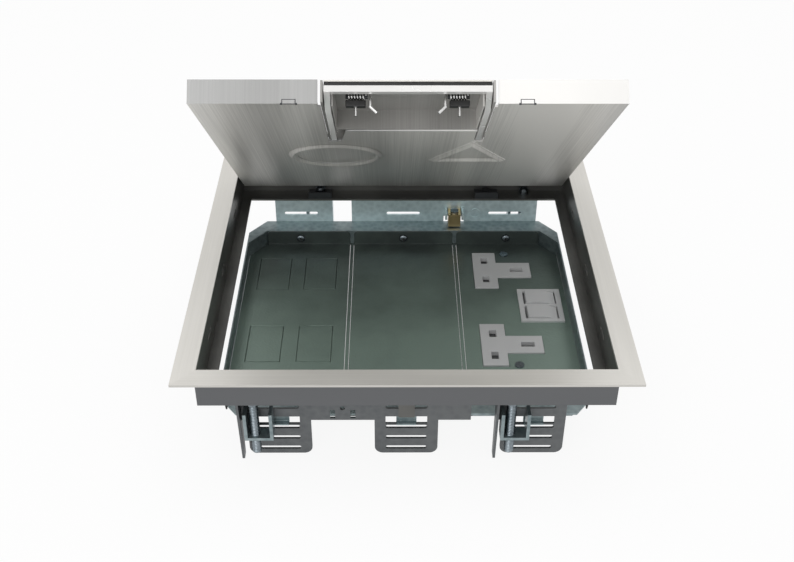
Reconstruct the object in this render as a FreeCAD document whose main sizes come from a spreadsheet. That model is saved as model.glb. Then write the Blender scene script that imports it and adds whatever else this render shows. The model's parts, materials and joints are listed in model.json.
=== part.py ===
import FreeCAD, Part
import math
import os

import Sketcher
from FreeCAD import Placement, Rotation, Vector

# Floor socket box: a trim frame set in the floor, a hinged lid with a lift-out handle, and a cradle of two
# end plates that carries a tray with three accessory plates. +X is to the right, +Y towards the hinge and
# +Z up. The origin is centred under the box, level with the feet of the end plates.

SIZES = {
    # whole box
    "depth": 75.0,              # feet of the end plates up to the floor face
    "trim_width": 262.0,
    "trim_length": 256.0,
    "flange": 13.0,             # width of the visible border
    "trim_sheet": 1.5,
    "trim_drop": 25.6,          # floor face down to the underside of the ledge
    "side_ledge": 7.0,
    "rear_ledge": 12.0,
    "clamp_ear_width": 16.0,
    "clamp_ear_depth": 5.0,
    "keeper_width": 9.5,
    "keeper_drop": 16.0,
    "wall_slot_length": 12.0,
    "wall_slot_height": 3.0,
    "wall_slot_pitch": 66.0,
    "wall_slot_drop": 13.5,
    # lid
    "lid_play": 1.5,            # gap between lid and frame, front and back
    "lid_side_play": 2.4,
    "lid_rim": 13.0,
    "lid_sheet": 1.2,
    "lid_open": 42.1,           # angle of the lid as modelled
    "hinge_inset": 6.0,         # hinge axis in from the lid's rear edge
    "hinge_drop": 4.0,          # hinge axis below the floor face
    "hinge_pin": 4.0,
    "pin_shoulder": 0.9,
    "hinge_pin_reach": 6.0,
    "running_play": 0.05,       # radial clearance of a pin in its bore
    "circle_diameter": 54.0,    # embossed signs on the lid's underside
    "circle_offset": 44.0,
    "circle_back": 123.0,
    "triangle_base": 50.0,
    "triangle_height": 51.0,
    "triangle_offset": 40.0,
    "triangle_back": 137.0,
    "emboss": 0.6,
    "emboss_line": 3.0,
    # handle and its well in the lid
    "well_width": 95.0,
    "well_back": 56.0,
    "arm_back": 86.0,
    "arm_width": 3.2,
    "arm_gap": 0.6,             # slot wider than the arm on either side
    "arm_play": 3.2,
    "handle_pivot_back": 80.0,
    "handle_pivot_drop": 9.5,   # handle axis below the floor face
    "handle_pin": 3.4,
    "handle_boss": 4.0,
    "bar_depth": 4.6,
    "bar_drop": 3.1,            # top of the bar below the floor face
    "bar_height": 3.4,
    "strip_height": 2.0,
    "well_sheet": 1.2,
    "notch_width": 9.1,
    "notch_back": 84.0,
    "notch_slope": 4.0,
    "arm_clearance": 2.0,
    "latch_offset": 28.0,
    "latch_back": 18.0,
    "latch_coil": 5.0,
    "latch_coil_length": 9.0,
    "latch_block_width": 11.0,
    "latch_block_depth": 5.0,
    "latch_block_height": 3.4,
    "latch_pin": 1.6,
    "latch_pin_length": 5.0,
    "wire_offset": 20.0,
    "wire_back": 12.0,
    "wire": 1.8,
    "wire_drop": 9.5,
    "wire_foot": 5.0,
    # cradle
    "plate_sheet": 1.5,
    "cradle_length": 208.0,     # clear length between the end plates
    "end_plate_width": 196.8,
    "top_flange": 7.0,
    "bay_pitch": 75.2,
    "tab_width": 37.7,
    "tab_corner": 5.0,
    "tab_drop": 74.4,
    "band_drop": 47.4,
    "slot_length": 24.6,
    "slot_width": 2.6,
    "high_slot_drop": 37.2,
    "low_slot_drop": 52.8,
    "low_slot_pitch": 8.45,
    "window_drop": 44.6,
    "window_height": 5.8,
    "gap_start": 38.0,
    "gap_width": 14.0,
    "leg_depth": 9.0,
    "leg_foot_depth": 4.0,
    "lug_centre": 37.5,
    "lug_spacing": 12.0,
    "lug_drop": 32.5,
    "lug_height": 5.5,
    "lug_reach": 8.0,
    "lug_slot_height": 6.5,
    "stamp_offset": 53.0,
    "stamp_diameter": 8.0,
    "stamp_raise": 0.4,
    "stamp_line": 0.8,
    "clamp_notch": 1.6,
    # tray and accessory plates
    "tray_drop": 44.0,
    "tray_width": 225.5,
    "tray_ledge": 13.0,
    "tray_sheet": 1.2,
    "tray_wall": 13.0,
    "tray_chamfer_long": 12.0,
    "tray_chamfer_short": 15.5,
    "divider": 2.4,
    "lug_tab_width": 12.0,
    "plate_drop": 55.0,
    "plate_play": 0.2,
    "plate_end_corner": 3.0,
    "data_width": 22.5,
    "data_length": 37.0,
    "data_pitch": 32.7,
    "data_rear": 38.4,          # first row's centre in front of the plate's rear end
    "data_row_pitch": 77.9,
    "data_gap": 0.4,
    "data_lip": 1.0,            # catch under the plate round each blank
    "screw_head": 6.0,
    "screw_head_height": 1.8,
    # twin socket
    "pin_spacing": 22.23,
    "socket_rear": 35.3,        # first socket's centre in front of the plate's rear end
    "socket_pitch": 83.1,
    "line_offset": 17.2,        # line of the two power pins, left of the plate's centre
    "stem_width": 16.4,
    "stem_length": 42.2,
    "arm_length": 24.0,
    "socket_arm_width": 17.3,
    "socket_stand": 1.0,
    "socket_thickness": 3.6,
    "pin_slot_long": 7.2,
    "pin_slot_short": 4.6,
    "earth_slot_long": 8.8,
    "housing_drop": 74.0,
    "housing_wall": 1.5,
    "housing_left": 30.0,
    "housing_right": 31.4,
    "housing_overhang": 5.5,
    "fixing_offset": 2.3,
    "fixing_pitch": 123.3,
    "shutter_width": 8.0,
    "shutter_length": 32.0,
    "shutter_thickness": 1.6,
    "shutter_play": 0.2,
    "shutter_nose": 20.0,
    "contact_gap": 3.0,
    "contact_sheet": 0.8,
    "contact_height": 10.0,
    # switches
    "switch_offset": 17.75,
    "switch_width": 29.1,
    "switch_length": 35.5,
    "switch_stand": 1.5,
    "switch_skirt": 5.0,
    "switch_lip": 2.5,
    "rocker_width": 20.0,
    "rocker_length": 13.4,
    "rocker_pitch": 16.2,
    "rocker_play": 0.6,
    "rocker_tilt": 6.0,
    "rocker_rise": 5.5,
    "rocker_shoulder": 4.0,
    "rocker_pivot_depth": 2.5,
    "rocker_rod": 2.5,
    # clamps
    "clamp_screw": 5.0,
    "clamp_head": 6.8,
    "clamp_head_height": 4.0,
    "clamp_drop": 67.0,
    "clamp_outer": 88.8,
    "clamp_inner": 60.8,
    "claw_near": 6.0,           # claw on either side of its screw
    "claw_far": 11.0,
    "claw_drop": 54.0,
    "claw_height": 20.0,
    "claw_sheet": 2.0,
    "claw_depth": 9.0,
    "bush_diameter": 7.0,
    "bush_height": 2.5,
    # small pieces
    "rest_diameter": 5.0,
    "rest_offset": 104.0,
    "bracket_offset": 60.8,
    "bracket_width": 17.0,
    "bracket_height": 5.2,
    "bracket_sheet": 1.2,
    "terminal_width": 9.0,
    "terminal_drop": 43.0,
    "terminal_height": 10.0,
    "terminal_screw": 4.0,
}

doc = FreeCAD.newDocument("FloorSocketBox")
sheet = doc.addObject("Spreadsheet::Sheet", "Sizes")
for row, (alias, value) in enumerate(SIZES.items(), start=1):
    sheet.set(f"A{row}", alias)
    sheet.set(f"B{row}", str(value))
    sheet.setAlias(f"B{row}", alias)
doc.recompute()


class Size:
    """A length and the sheet expression that gives it, kept together through sums and products."""

    def __init__(self, value, text):
        self.value = value
        self.text = text

    def combine(self, other, sign, swap=False):
        first, second = (as_size(other), self) if swap else (self, as_size(other))
        results = {"+": first.value + second.value, "-": first.value - second.value,
                   "*": first.value * second.value}
        value = first.value / second.value if sign == "/" else results[sign]
        return Size(value, f"({first.text} {sign} {second.text})")

    def __add__(self, other):
        return self.combine(other, "+")

    def __radd__(self, other):
        return self.combine(other, "+", swap=True)

    def __sub__(self, other):
        return self.combine(other, "-")

    def __rsub__(self, other):
        return self.combine(other, "-", swap=True)

    def __mul__(self, other):
        return self.combine(other, "*")

    def __rmul__(self, other):
        return self.combine(other, "*", swap=True)

    def __truediv__(self, other):
        return self.combine(other, "/")

    def __neg__(self):
        return self.combine(-1, "*")


def as_size(number):
    return number if isinstance(number, Size) else Size(float(number), repr(float(number)))


class Sheet:
    """Every cell of the sheet as a Size."""


s = Sheet()
for alias, value in SIZES.items():
    setattr(s, alias, Size(value, f"Sizes.{alias}"))

bodies = []


def bind(item, path, size):
    item.setExpression(path, as_size(size).text)


# ---- outlines -------------------------------------------------------------------------------------------

def rect(x0, x1, y0, y1, radius=None):
    corners = [(x0, y0), (x1, y0), (x1, y1), (x0, y1)]
    return corners if radius is None else [(x, y, radius) for x, y in corners]


def centred_rect(x, y, width, height, radius=None):
    return rect(x - width / 2, x + width / 2, y - height / 2, y + height / 2, radius)


def slot(x, y, length, width):
    """Round-ended slot that runs along the sketch's first axis."""
    return centred_rect(x, y, length, width, width / 2)


def circle(x, y, diameter):
    return ("circle", x, y, diameter / 2)


def heading(start, end):
    dx = as_size(end[0]).value - as_size(start[0]).value
    dy = as_size(end[1]).value - as_size(start[1]).value
    length = math.hypot(dx, dy)
    return round(dx / length), round(dy / length)


def place_point(geometry, position, x, y):
    """Constraints that hold a point of the sketch at x, y, each with the size that drives it."""
    return [(Sketcher.Constraint(kind, -1, 1, geometry, position, size.value), size)
            for kind, size in (("DistanceX", as_size(x)), ("DistanceY", as_size(y)))]


def constrain(sketch, constraints):
    indices = sketch.addConstraint([constraint for constraint, _ in constraints])
    for index, (_, size) in zip(indices, constraints):
        if size is not None:
            bind(sketch, f"Constraints[{index}]", size)


def draw_circle(sketch, outline):
    x, y, radius = (as_size(size) for size in outline[1:])
    shape = Part.Circle(Vector(x.value, y.value, 0), Vector(0, 0, 1), radius.value)
    geometry = sketch.addGeometry(shape)
    held = place_point(geometry, 3, x, y)
    held.append((Sketcher.Constraint("Radius", geometry, radius.value), radius))
    return held


def corner_of(before, point, after):
    """Where a corner starts and ends, and its arc if a third value on the point rounds it."""
    x, y = as_size(point[0]), as_size(point[1])
    if len(point) == 2:
        return {"start": (x, y), "end": (x, y)}
    radius = as_size(point[2])
    in_x, in_y = heading(before, point)
    out_x, out_y = heading(point, after)
    start = (x - radius * in_x, y - radius * in_y)
    end = (x + radius * out_x, y + radius * out_y)
    centre = (start[0] + radius * out_x, start[1] + radius * out_y)
    return {"start": start, "end": end, "centre": centre, "radius": radius, "turn": in_x * out_y - in_y * out_x}


def draw_arc(sketch, corner):
    centre = Vector(corner["centre"][0].value, corner["centre"][1].value, 0)
    left_turn = corner["turn"] > 0
    ends = (corner["start"], corner["end"]) if left_turn else (corner["end"], corner["start"])
    angles = [math.atan2(y.value - centre.y, x.value - centre.x) for x, y in ends]
    circle_edge = Part.Circle(centre, Vector(0, 0, 1), corner["radius"].value)
    geometry = sketch.addGeometry(Part.ArcOfCircle(circle_edge, *angles))
    return geometry, (1, 2) if left_turn else (2, 1)


def draw_polygon(sketch, points):
    """Closed outline, each corner held by the sheet. Only right-angled corners are rounded."""
    corners = [corner_of(points[i - 1], point, points[(i + 1) % len(points)]) for i, point in enumerate(points)]
    edges = []
    held = []
    for i, corner in enumerate(corners):
        if "centre" in corner:
            geometry, ends = draw_arc(sketch, corner)
            edges.append((geometry, ends, corner["start"]))
            centre_x = corner["centre"][0]
            held.append((Sketcher.Constraint("DistanceX", -1, 1, geometry, 3, centre_x.value), centre_x))
        after = corners[(i + 1) % len(corners)]["start"]
        begin = Vector(corner["end"][0].value, corner["end"][1].value, 0)
        finish = Vector(after[0].value, after[1].value, 0)
        if begin.distanceToPoint(finish) > 1e-6:
            edges.append((sketch.addGeometry(Part.LineSegment(begin, finish)), (1, 2), corner["end"]))
    for i, (geometry, ends, start) in enumerate(edges):
        following, following_ends, _ = edges[(i + 1) % len(edges)]
        join = Sketcher.Constraint("Coincident", geometry, ends[1], following, following_ends[0])
        held.append((join, None))
        held.extend(place_point(geometry, ends[0], *start))
    return held


# ---- features -------------------------------------------------------------------------------------------

def new_body(label):
    body = doc.addObject("PartDesign::Body", label)
    body.Label = label
    body.AllowCompound = True
    bodies.append(body)
    return body


def sketch_on(body, plane, offset, outlines):
    sketch = body.newObject("Sketcher::SketchObject", "Sketch")
    origin_plane = [item for item in body.Origin.OriginFeatures if item.Role == f"{plane}_Plane"][0]
    sketch.AttachmentSupport = (origin_plane, [""])
    sketch.MapMode = "FlatFace"
    bind(sketch, "AttachmentOffset.Base.z", offset)
    held = []
    for outline in outlines:
        draw = draw_circle if outline[0] == "circle" else draw_polygon
        held.extend(draw(sketch, outline))
    constrain(sketch, held)
    return sketch


def pad(body, plane, low, high, *outlines):
    """Material between two positions along the plane's axis. XZ sketches face -Y, so they start at high."""
    offset = -as_size(high) if plane == "XZ" else low
    feature = body.newObject("PartDesign::Pad", "Pad")
    feature.Profile = sketch_on(body, plane, offset, outlines)
    bind(feature, "Length", as_size(high) - low)
    return feature


def pocket(body, plane, low, high, *outlines):
    """Cut between two positions along the plane's axis, from the side that the sketch faces."""
    offset = -as_size(low) if plane == "XZ" else high
    feature = body.newObject("PartDesign::Pocket", "Pocket")
    feature.Profile = sketch_on(body, plane, offset, outlines)
    bind(feature, "Length", as_size(high) - low)
    return feature


def revolve(body, outline):
    """Turned shape about the body's own Z axis, from a half section in its XZ plane."""
    feature = body.newObject("PartDesign::Revolution", "Revolution")
    feature.Profile = sketch_on(body, "XZ", 0, [outline])
    axis = [item for item in body.Origin.OriginFeatures if item.Role == "Z_Axis"][0]
    feature.ReferenceAxis = (axis, [""])
    feature.Angle = 360
    return feature


def place(body, x=0, y=0, z=0, rotation=None):
    body.Placement = Placement(Vector(*(as_size(size).value for size in (x, y, z))), rotation or Rotation())
    for path, size in (("x", x), ("y", y), ("z", z)):
        bind(body, f"Placement.Base.{path}", size)


# ---- shared places --------------------------------------------------------------------------------------

top = s.depth
trim_x, trim_y = s.trim_width / 2, s.trim_length / 2
open_x, open_y = trim_x - s.flange, trim_y - s.flange
ledge_under = top - s.trim_drop
ledge_top = ledge_under + s.trim_sheet
hinge_y = open_y - s.lid_play - s.hinge_inset
hinge_z = top - s.hinge_drop
wall_x, wall_y = open_x + s.trim_sheet, open_y + s.trim_sheet
plate_y = s.cradle_length / 2
clamp_y = open_y - s.side_ledge / 2
CLAMPS = {
    "front_left": (-s.clamp_outer, -clamp_y),
    "front_right": (s.clamp_inner, -clamp_y),
    "rear_right": (s.clamp_outer, clamp_y),
    "rear_left": (-s.clamp_inner, clamp_y),
}
clamp_bore = s.clamp_screw + s.running_play * 2


def mirrored(side, inner, outer):
    """Low and high ends of a span given from the middle outwards, on either side."""
    return (inner, outer) if side > 0 else (-outer, -inner)


def trim_frame():
    """Rolled stainless section: flange on the floor, wall, and a ledge that carries lid and cradle."""
    body = new_body("trim_frame")
    pad(body, "XY", top - s.trim_sheet, top, rect(-trim_x, trim_x, -trim_y, trim_y),
        rect(-open_x, open_x, -open_y, open_y))
    pad(body, "XY", ledge_under, top - s.trim_sheet / 2, rect(-wall_x, wall_x, -wall_y, wall_y),
        rect(-open_x, open_x, -open_y, open_y))
    inner_x = open_x - s.side_ledge
    pad(body, "XY", ledge_under, ledge_top, rect(-wall_x, wall_x, -wall_y, wall_y),
        rect(-inner_x, inner_x, s.side_ledge - open_y, open_y - s.rear_ledge))
    for x, y in CLAMPS.values():
        if y.value < 0:
            ear = rect(x - s.clamp_ear_width / 2, x + s.clamp_ear_width / 2, -open_y,
                       s.side_ledge - open_y + s.clamp_ear_depth)
            pad(body, "XY", ledge_under, ledge_top, ear)
    keeper_y = s.side_ledge - open_y
    pad(body, "XZ", keeper_y - s.trim_sheet, keeper_y,
        rect(-s.keeper_width / 2, s.keeper_width / 2, ledge_under - s.keeper_drop, ledge_top))
    pocket(body, "XY", ledge_under, ledge_top, *[circle(x, y, clamp_bore) for x, y in CLAMPS.values()])
    slots = [slot(s.wall_slot_pitch * i, top - s.wall_slot_drop, s.wall_slot_length, s.wall_slot_height)
             for i in (-1, 0, 1)]
    pocket(body, "YZ", open_x, wall_x, *slots)
    pocket(body, "YZ", -wall_x, -open_x, *slots)
    pin_hole = circle(hinge_y, hinge_z, s.hinge_pin + s.running_play * 2)
    pocket(body, "YZ", -wall_x, -open_x, pin_hole)
    pocket(body, "YZ", open_x, wall_x, pin_hole)
    rest_stem = s.rest_diameter / 2 + s.running_play * 2
    pocket(body, "XY", ledge_under, ledge_top,
           *[circle(s.rest_offset * side, s.side_ledge / 2 - open_y, rest_stem) for side in (-1, 1)])


def hinge_pins():
    """Shouldered pins set flush in the side walls; the lid's rim turns on them."""
    body = new_body("hinge_pins")
    shoulder = s.lid_side_play - s.running_play * 4
    for side in (-1, 1):
        pad(body, "YZ", *mirrored(side, open_x - s.hinge_pin_reach, wall_x), circle(hinge_y, hinge_z, s.hinge_pin))
        pad(body, "YZ", *mirrored(side, open_x - shoulder, open_x),
            circle(hinge_y, hinge_z, s.hinge_pin + s.pin_shoulder * 2))


def lid_rests():
    """Bumpers pressed through the front ledge; the closed lid lies on them."""
    body = new_body("lid_rests")
    rest_top = top - s.lid_rim
    for side in (-1, 1):
        x, y = s.rest_offset * side, s.side_ledge / 2 - open_y
        pad(body, "XY", ledge_top, rest_top, circle(x, y, s.rest_diameter))
        pad(body, "XY", ledge_under - s.rest_diameter / 2, ledge_top, circle(x, y, s.rest_diameter / 2))


def hinge_brackets():
    """Angles on the rear ledge, under the lid's back edge."""
    body = new_body("hinge_brackets")
    face = open_y - s.rear_ledge + s.running_play * 2
    half = s.bracket_width / 2
    for side in (-1, 1):
        x = s.bracket_offset * side
        pad(body, "XY", ledge_top, ledge_top + s.bracket_sheet,
            rect(x - half, x + half, face, open_y - s.running_play * 2))
        pad(body, "XZ", face, face + s.bracket_sheet,
            rect(x - half, x + half, ledge_top, ledge_top + s.bracket_height))
        if side < 0:
            pocket(body, "XY", ledge_top, ledge_top + s.bracket_sheet, circle(x, clamp_y, clamp_bore))
    pad(body, "XY", ledge_top + s.bracket_sheet, ledge_top + s.bracket_sheet + s.screw_head_height,
        circle(s.bracket_offset, clamp_y, s.screw_head))


# ---- lid, built closed about its hinge axis and opened by its placement ---------------------------------

lid_x = open_x - s.lid_side_play
lid_back = s.hinge_inset
lid_front = lid_back - (open_y - s.lid_play) * 2
lid_top = s.hinge_drop
lid_under = lid_top - s.lid_rim
well_x = s.well_width / 2
well_rear = lid_front + s.well_back
slot_rear = lid_front + s.arm_back
pivot_y = lid_front + s.handle_pivot_back
pivot_z = lid_top - s.handle_pivot_drop
arm_outer = well_x - s.arm_play
arm_inner = arm_outer - s.arm_width
well_wall_x = arm_outer + s.arm_gap
cut_x = well_wall_x + s.well_sheet + s.running_play * 2
ceiling_x = arm_inner - s.arm_gap
notch_x = s.notch_width - well_x
ceiling_low = lid_top - s.well_sheet - 0.5


def ride_on_lid(body):
    place(body, 0, hinge_y, hinge_z, Rotation(Vector(-1, 0, 0), s.lid_open.value))
    body.setExpression("Placement.Rotation.Angle", f"{s.lid_open.text} * 1 deg")


def lid_tray():
    """Folded tray, open on top for the floor finish, cut away for the handle."""
    body = new_body("lid_tray")
    pad(body, "XY", lid_under, lid_top, rect(-lid_x, lid_x, lid_front, lid_back))
    sheet_thick = s.lid_sheet
    pocket(body, "XY", lid_under + sheet_thick, lid_top,
           rect(sheet_thick - lid_x, lid_x - sheet_thick, lid_front + sheet_thick, lid_back - sheet_thick))
    ahead = lid_front - 1
    notch_y = lid_front + s.notch_back
    mouth = lid_front + s.bar_depth + s.arm_clearance
    opening = [(-well_x, ahead), (well_x, ahead), (well_x, mouth), (cut_x, mouth), (cut_x, slot_rear),
               (ceiling_x, slot_rear), (ceiling_x, well_rear), (notch_x + s.notch_slope, well_rear),
               (notch_x, notch_y), (-ceiling_x, notch_y), (-ceiling_x, slot_rear), (-cut_x, slot_rear),
               (-cut_x, mouth), (-well_x, mouth)]
    pocket(body, "XY", lid_under - 1, lid_top, opening)
    pocket(body, "YZ", -lid_x, -lid_x + sheet_thick * 2, circle(0, 0, s.hinge_pin + s.running_play * 2))
    pocket(body, "YZ", lid_x - sheet_thick * 2, lid_x, circle(0, 0, s.hinge_pin + s.running_play * 2))
    circle_y = lid_front + s.circle_back
    ring = [circle(-s.circle_offset, circle_y, s.circle_diameter),
            circle(-s.circle_offset, circle_y, s.circle_diameter - s.emboss_line * 2)]
    pad(body, "XY", lid_under - s.emboss, lid_under + sheet_thick / 2, *ring)
    base_y = lid_front + s.triangle_back
    apex_y = base_y - s.triangle_height
    half = s.triangle_base / 2
    triangle = [(s.triangle_offset - half, base_y), (s.triangle_offset, apex_y), (s.triangle_offset + half, base_y)]
    inset = s.emboss_line
    inner = [(s.triangle_offset - half + inset * 1.6, base_y - inset),
             (s.triangle_offset, apex_y + inset * 2.2),
             (s.triangle_offset + half - inset * 1.6, base_y - inset)]
    pad(body, "XY", lid_under - s.emboss, lid_under + sheet_thick / 2, triangle, inner)
    ride_on_lid(body)


def handle_well():
    """Formed pan over the cut-out, with the side walls that carry the handle's pins."""
    body = new_body("handle_well")
    floor = lid_under + s.lid_sheet
    thick = s.well_sheet
    web = well_rear - thick
    rear_low = slot_rear + s.running_play * 2
    rear_high = rear_low + thick
    pad(body, "XY", ceiling_low, ceiling_low + thick,
        rect(-ceiling_x, ceiling_x, lid_front + s.bar_depth + s.arm_clearance, well_rear))
    pad(body, "XZ", web, well_rear, rect(-ceiling_x, ceiling_x, lid_under, ceiling_low + thick))
    for side in (-1, 1):
        pad(body, "YZ", *mirrored(side, well_wall_x, well_wall_x + thick),
            rect(lid_front + s.lid_sheet, rear_high, floor, lid_top))
        pad(body, "XZ", rear_low, rear_high, rect(*mirrored(side, ceiling_x, well_wall_x + thick), floor, lid_top))
        pocket(body, "YZ", *mirrored(side, well_wall_x, well_wall_x + thick),
               circle(pivot_y, pivot_z, s.handle_pin + s.running_play * 2))
    # the right arm's slot is closed towards the middle; the left one opens into the finger notch
    pad(body, "YZ", ceiling_x - thick, ceiling_x, rect(web, rear_high, floor, ceiling_low + thick))
    notch_right = notch_x + s.notch_slope
    pad(body, "XY", ceiling_low, ceiling_low + thick, rect(-ceiling_x, notch_right + thick, web, rear_high))
    pad(body, "YZ", notch_right, notch_right + thick, rect(web, rear_high, floor, ceiling_low + thick))
    pad(body, "XZ", rear_low, rear_high, rect(-ceiling_x, notch_right + thick, floor, ceiling_low + thick))
    ride_on_lid(body)


def handle_pins():
    body = new_body("handle_pins")
    tip = arm_inner - s.running_play * 2
    head = well_wall_x + s.well_sheet
    for side in (-1, 1):
        pad(body, "YZ", *mirrored(side, tip, head), circle(pivot_y, pivot_z, s.handle_pin))
        pad(body, "YZ", *mirrored(side, head, head + 1),
            circle(pivot_y, pivot_z, s.handle_pin + s.pin_shoulder))
    ride_on_lid(body)


def handle_bail():
    """U-shaped pull: front bar with two arms that deepen in a curve and end in pivot bosses."""
    body = new_body("handle_bail")
    bar_top = lid_top - s.bar_drop
    bar_low = bar_top - s.bar_height
    front = lid_front + s.running_play * 6
    pad(body, "XY", bar_low, bar_top, rect(-arm_outer, arm_outer, front, front + s.bar_depth))
    belly = lid_under - 0.5
    boss_top = pivot_z + s.handle_boss
    arm = [(front, bar_low), (front + 14, belly), (pivot_y - 12, belly), (pivot_y, pivot_z - s.handle_boss),
           (pivot_y, boss_top), (front + s.bar_depth + 6, bar_top), (front, bar_top)]
    for low, high in ((arm_inner, arm_outer), (-arm_outer, -arm_inner)):
        pad(body, "YZ", low, high, arm)
        pad(body, "YZ", low, high, circle(pivot_y, pivot_z, s.handle_boss * 2))
        pocket(body, "YZ", low, high, circle(pivot_y, pivot_z, s.handle_pin + s.running_play * 2))
    ride_on_lid(body)


def handle_strip():
    body = new_body("handle_strip")
    low = lid_top - s.bar_drop
    front = lid_front + s.running_play * 6 + 0.8
    pad(body, "XY", low, low + s.strip_height, rect(-arm_outer, arm_outer, front, front + s.bar_depth - 0.8))
    ride_on_lid(body)


def grip_plate():
    body = new_body("grip_plate")
    low = lid_top - s.bar_drop + s.strip_height
    front = lid_front + s.running_play * 6
    pad(body, "XY", low, lid_top, rect(-arm_outer, arm_outer, front, front + s.bar_depth))
    ride_on_lid(body)


coil_z = ceiling_low - s.latch_coil / 2
coil_y = lid_front + s.latch_back


def latch_springs():
    """Torsion coils under the well's ceiling, as plain cylinders."""
    body = new_body("latch_springs")
    for side in (-1, 1):
        low = s.latch_offset * side - s.latch_coil_length / 2
        pad(body, "YZ", low, low + s.latch_coil_length, circle(coil_y, coil_z, s.latch_coil))
    ride_on_lid(body)


block_top = coil_z - s.latch_coil / 2


def latch_blocks():
    body = new_body("latch_blocks")
    for side in (-1, 1):
        pad(body, "XY", block_top - s.latch_block_height, block_top,
            centred_rect(s.latch_offset * side, coil_y, s.latch_block_width, s.latch_block_depth))
    ride_on_lid(body)


def latch_pins():
    body = new_body("latch_pins")
    low = block_top - s.latch_block_height
    for side in (-1, 1):
        pad(body, "XY", low - s.latch_pin_length, low, circle(s.latch_offset * side, coil_y, s.latch_pin))
    ride_on_lid(body)


def latch_wire(label, side):
    """Bent wire swept from the ceiling down, its foot turned in at 45 degrees."""
    wire = doc.addObject("Part::Feature", label)
    x = side * SIZES["wire_offset"]
    y = lid_front.value + SIZES["wire_back"]
    upper = ceiling_low.value
    knee = upper - SIZES["wire_drop"]
    foot = SIZES["wire_foot"] * math.sqrt(0.5)
    radius = SIZES["wire"] / 2
    knee_point = Vector(x, y, knee)
    upright = Part.makeCylinder(radius, upper - knee, knee_point)
    elbow = Part.makeSphere(radius, knee_point)
    toe = Part.makeCylinder(radius, foot / math.sqrt(0.5), knee_point, Vector(-side, 0, -1))
    wire.Shape = upright.fuse([elbow, toe]).removeSplitter()
    wire.Label = label
    bodies.append(wire)
    ride_on_lid(wire)


# ---- cradle ---------------------------------------------------------------------------------------------

gap_inner, gap_outer = s.gap_start, s.gap_start + s.gap_width
tab_half = s.tab_width / 2
lug_top = top - s.lug_drop
lug_low = lug_top - s.lug_height


def plate_slots(x):
    """One high slot, a window and three low slots above each other in a tab."""
    half = s.slot_length / 2
    window_top = top - s.window_drop
    slots = [slot(x, top - s.low_slot_drop - s.low_slot_pitch * i, s.slot_length, s.slot_width) for i in range(3)]
    return [slot(x, top - s.high_slot_drop, s.slot_length, s.slot_width),
            rect(x - half, x + half, window_top - s.window_height, window_top), *slots]


def end_plate(label, columns, low_x, high_x, leg_x):
    """Pressed plate hung under the ledge: slotted tabs below a band, a flange on top and one bent leg."""
    body = new_body(label)
    thick = s.plate_sheet
    inner, outer = plate_y, plate_y + thick
    band, tab_low = top - s.band_drop, top - s.tab_drop
    pad(body, "XZ", inner, outer, rect(low_x, high_x, band, ledge_under))
    places = [s.bay_pitch * i for i in columns]
    for x in places:
        pad(body, "XZ", inner, outer, [
            (x - tab_half, tab_low, s.tab_corner), (x + tab_half, tab_low, s.tab_corner),
            (x + tab_half, band + thick), (x - tab_half, band + thick)])
        pocket(body, "XZ", inner, outer, *plate_slots(x))
    flange_low = ledge_under - thick
    pad(body, "XY", flange_low, ledge_under, rect(low_x, high_x, inner, outer + s.top_flange))
    clear = s.running_play * 4
    for x, y in CLAMPS.values():
        if y.value > 0 and low_x.value < x.value < high_x.value:
            notch = s.bush_diameter / 2 + s.clamp_notch
            pocket(body, "XY", flange_low, ledge_under,
                   rect(x - notch, x + notch, outer + clear, outer + s.top_flange))
    leg = [(inner, flange_low), (outer + s.leg_depth, flange_low), (outer + s.leg_foot_depth, 0), (inner, 0)]
    pad(body, "YZ", leg_x, leg_x + thick, leg)
    return body


def long_end_plate(label):
    """The longer plate of an end, two tabs wide, with the lugs that hold an earth terminal."""
    thick = s.plate_sheet
    inner, outer = plate_y, plate_y + thick
    half = s.end_plate_width / 2
    body = end_plate(label, (0, 1), -gap_inner, half, half - thick)
    for offset in (-1, 1):
        x = s.lug_centre + s.lug_spacing / 2 * offset
        pad(body, "YZ", x - thick / 2, x + thick / 2,
            rect(inner - s.lug_reach, inner + thick / 2, lug_low, lug_top))
        pocket(body, "XZ", inner, outer, rect(x - thick, x + thick, lug_low - thick - s.lug_slot_height,
                                             lug_low - thick))
    pocket(body, "XZ", inner, outer, circle(s.lug_centre, lug_low, thick * 2))
    return body


def short_end_plate(label):
    return end_plate(label, (-1,), -s.bay_pitch - tab_half, -gap_outer, -gap_outer - s.plate_sheet)


def turn_round(body):
    """The front plates are the rear ones turned half a turn about the box's middle."""
    body.Placement = Placement(Vector(0, 0, 0), Rotation(Vector(0, 0, 1), 180))


def end_plates():
    rear = long_end_plate("end_plate_rear_long")
    pad(rear, "XZ", plate_y - s.stamp_raise, plate_y + s.stamp_raise,
        circle(s.stamp_offset, top - s.high_slot_drop, s.stamp_diameter),
        circle(s.stamp_offset, top - s.high_slot_drop, s.stamp_diameter - s.stamp_line * 2))
    short_end_plate("end_plate_rear_short")
    front = long_end_plate("end_plate_front_long")
    keeper = s.keeper_width / 2 + s.running_play * 4
    keeper_y = open_y - s.side_ledge
    pocket(front, "XY", ledge_under - s.plate_sheet, ledge_under,
           rect(-keeper, keeper, keeper_y - s.running_play * 4, plate_y + s.plate_sheet + s.top_flange))
    turn_round(front)
    turn_round(short_end_plate("end_plate_front_short"))


tray_top = top - s.tray_drop
tray_x = s.tray_width / 2
tray_inner = plate_y - s.tray_ledge
wall_low = tray_top - s.tray_wall
window_low = top - s.window_drop - s.window_height
divider_x = s.bay_pitch / 2


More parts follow.
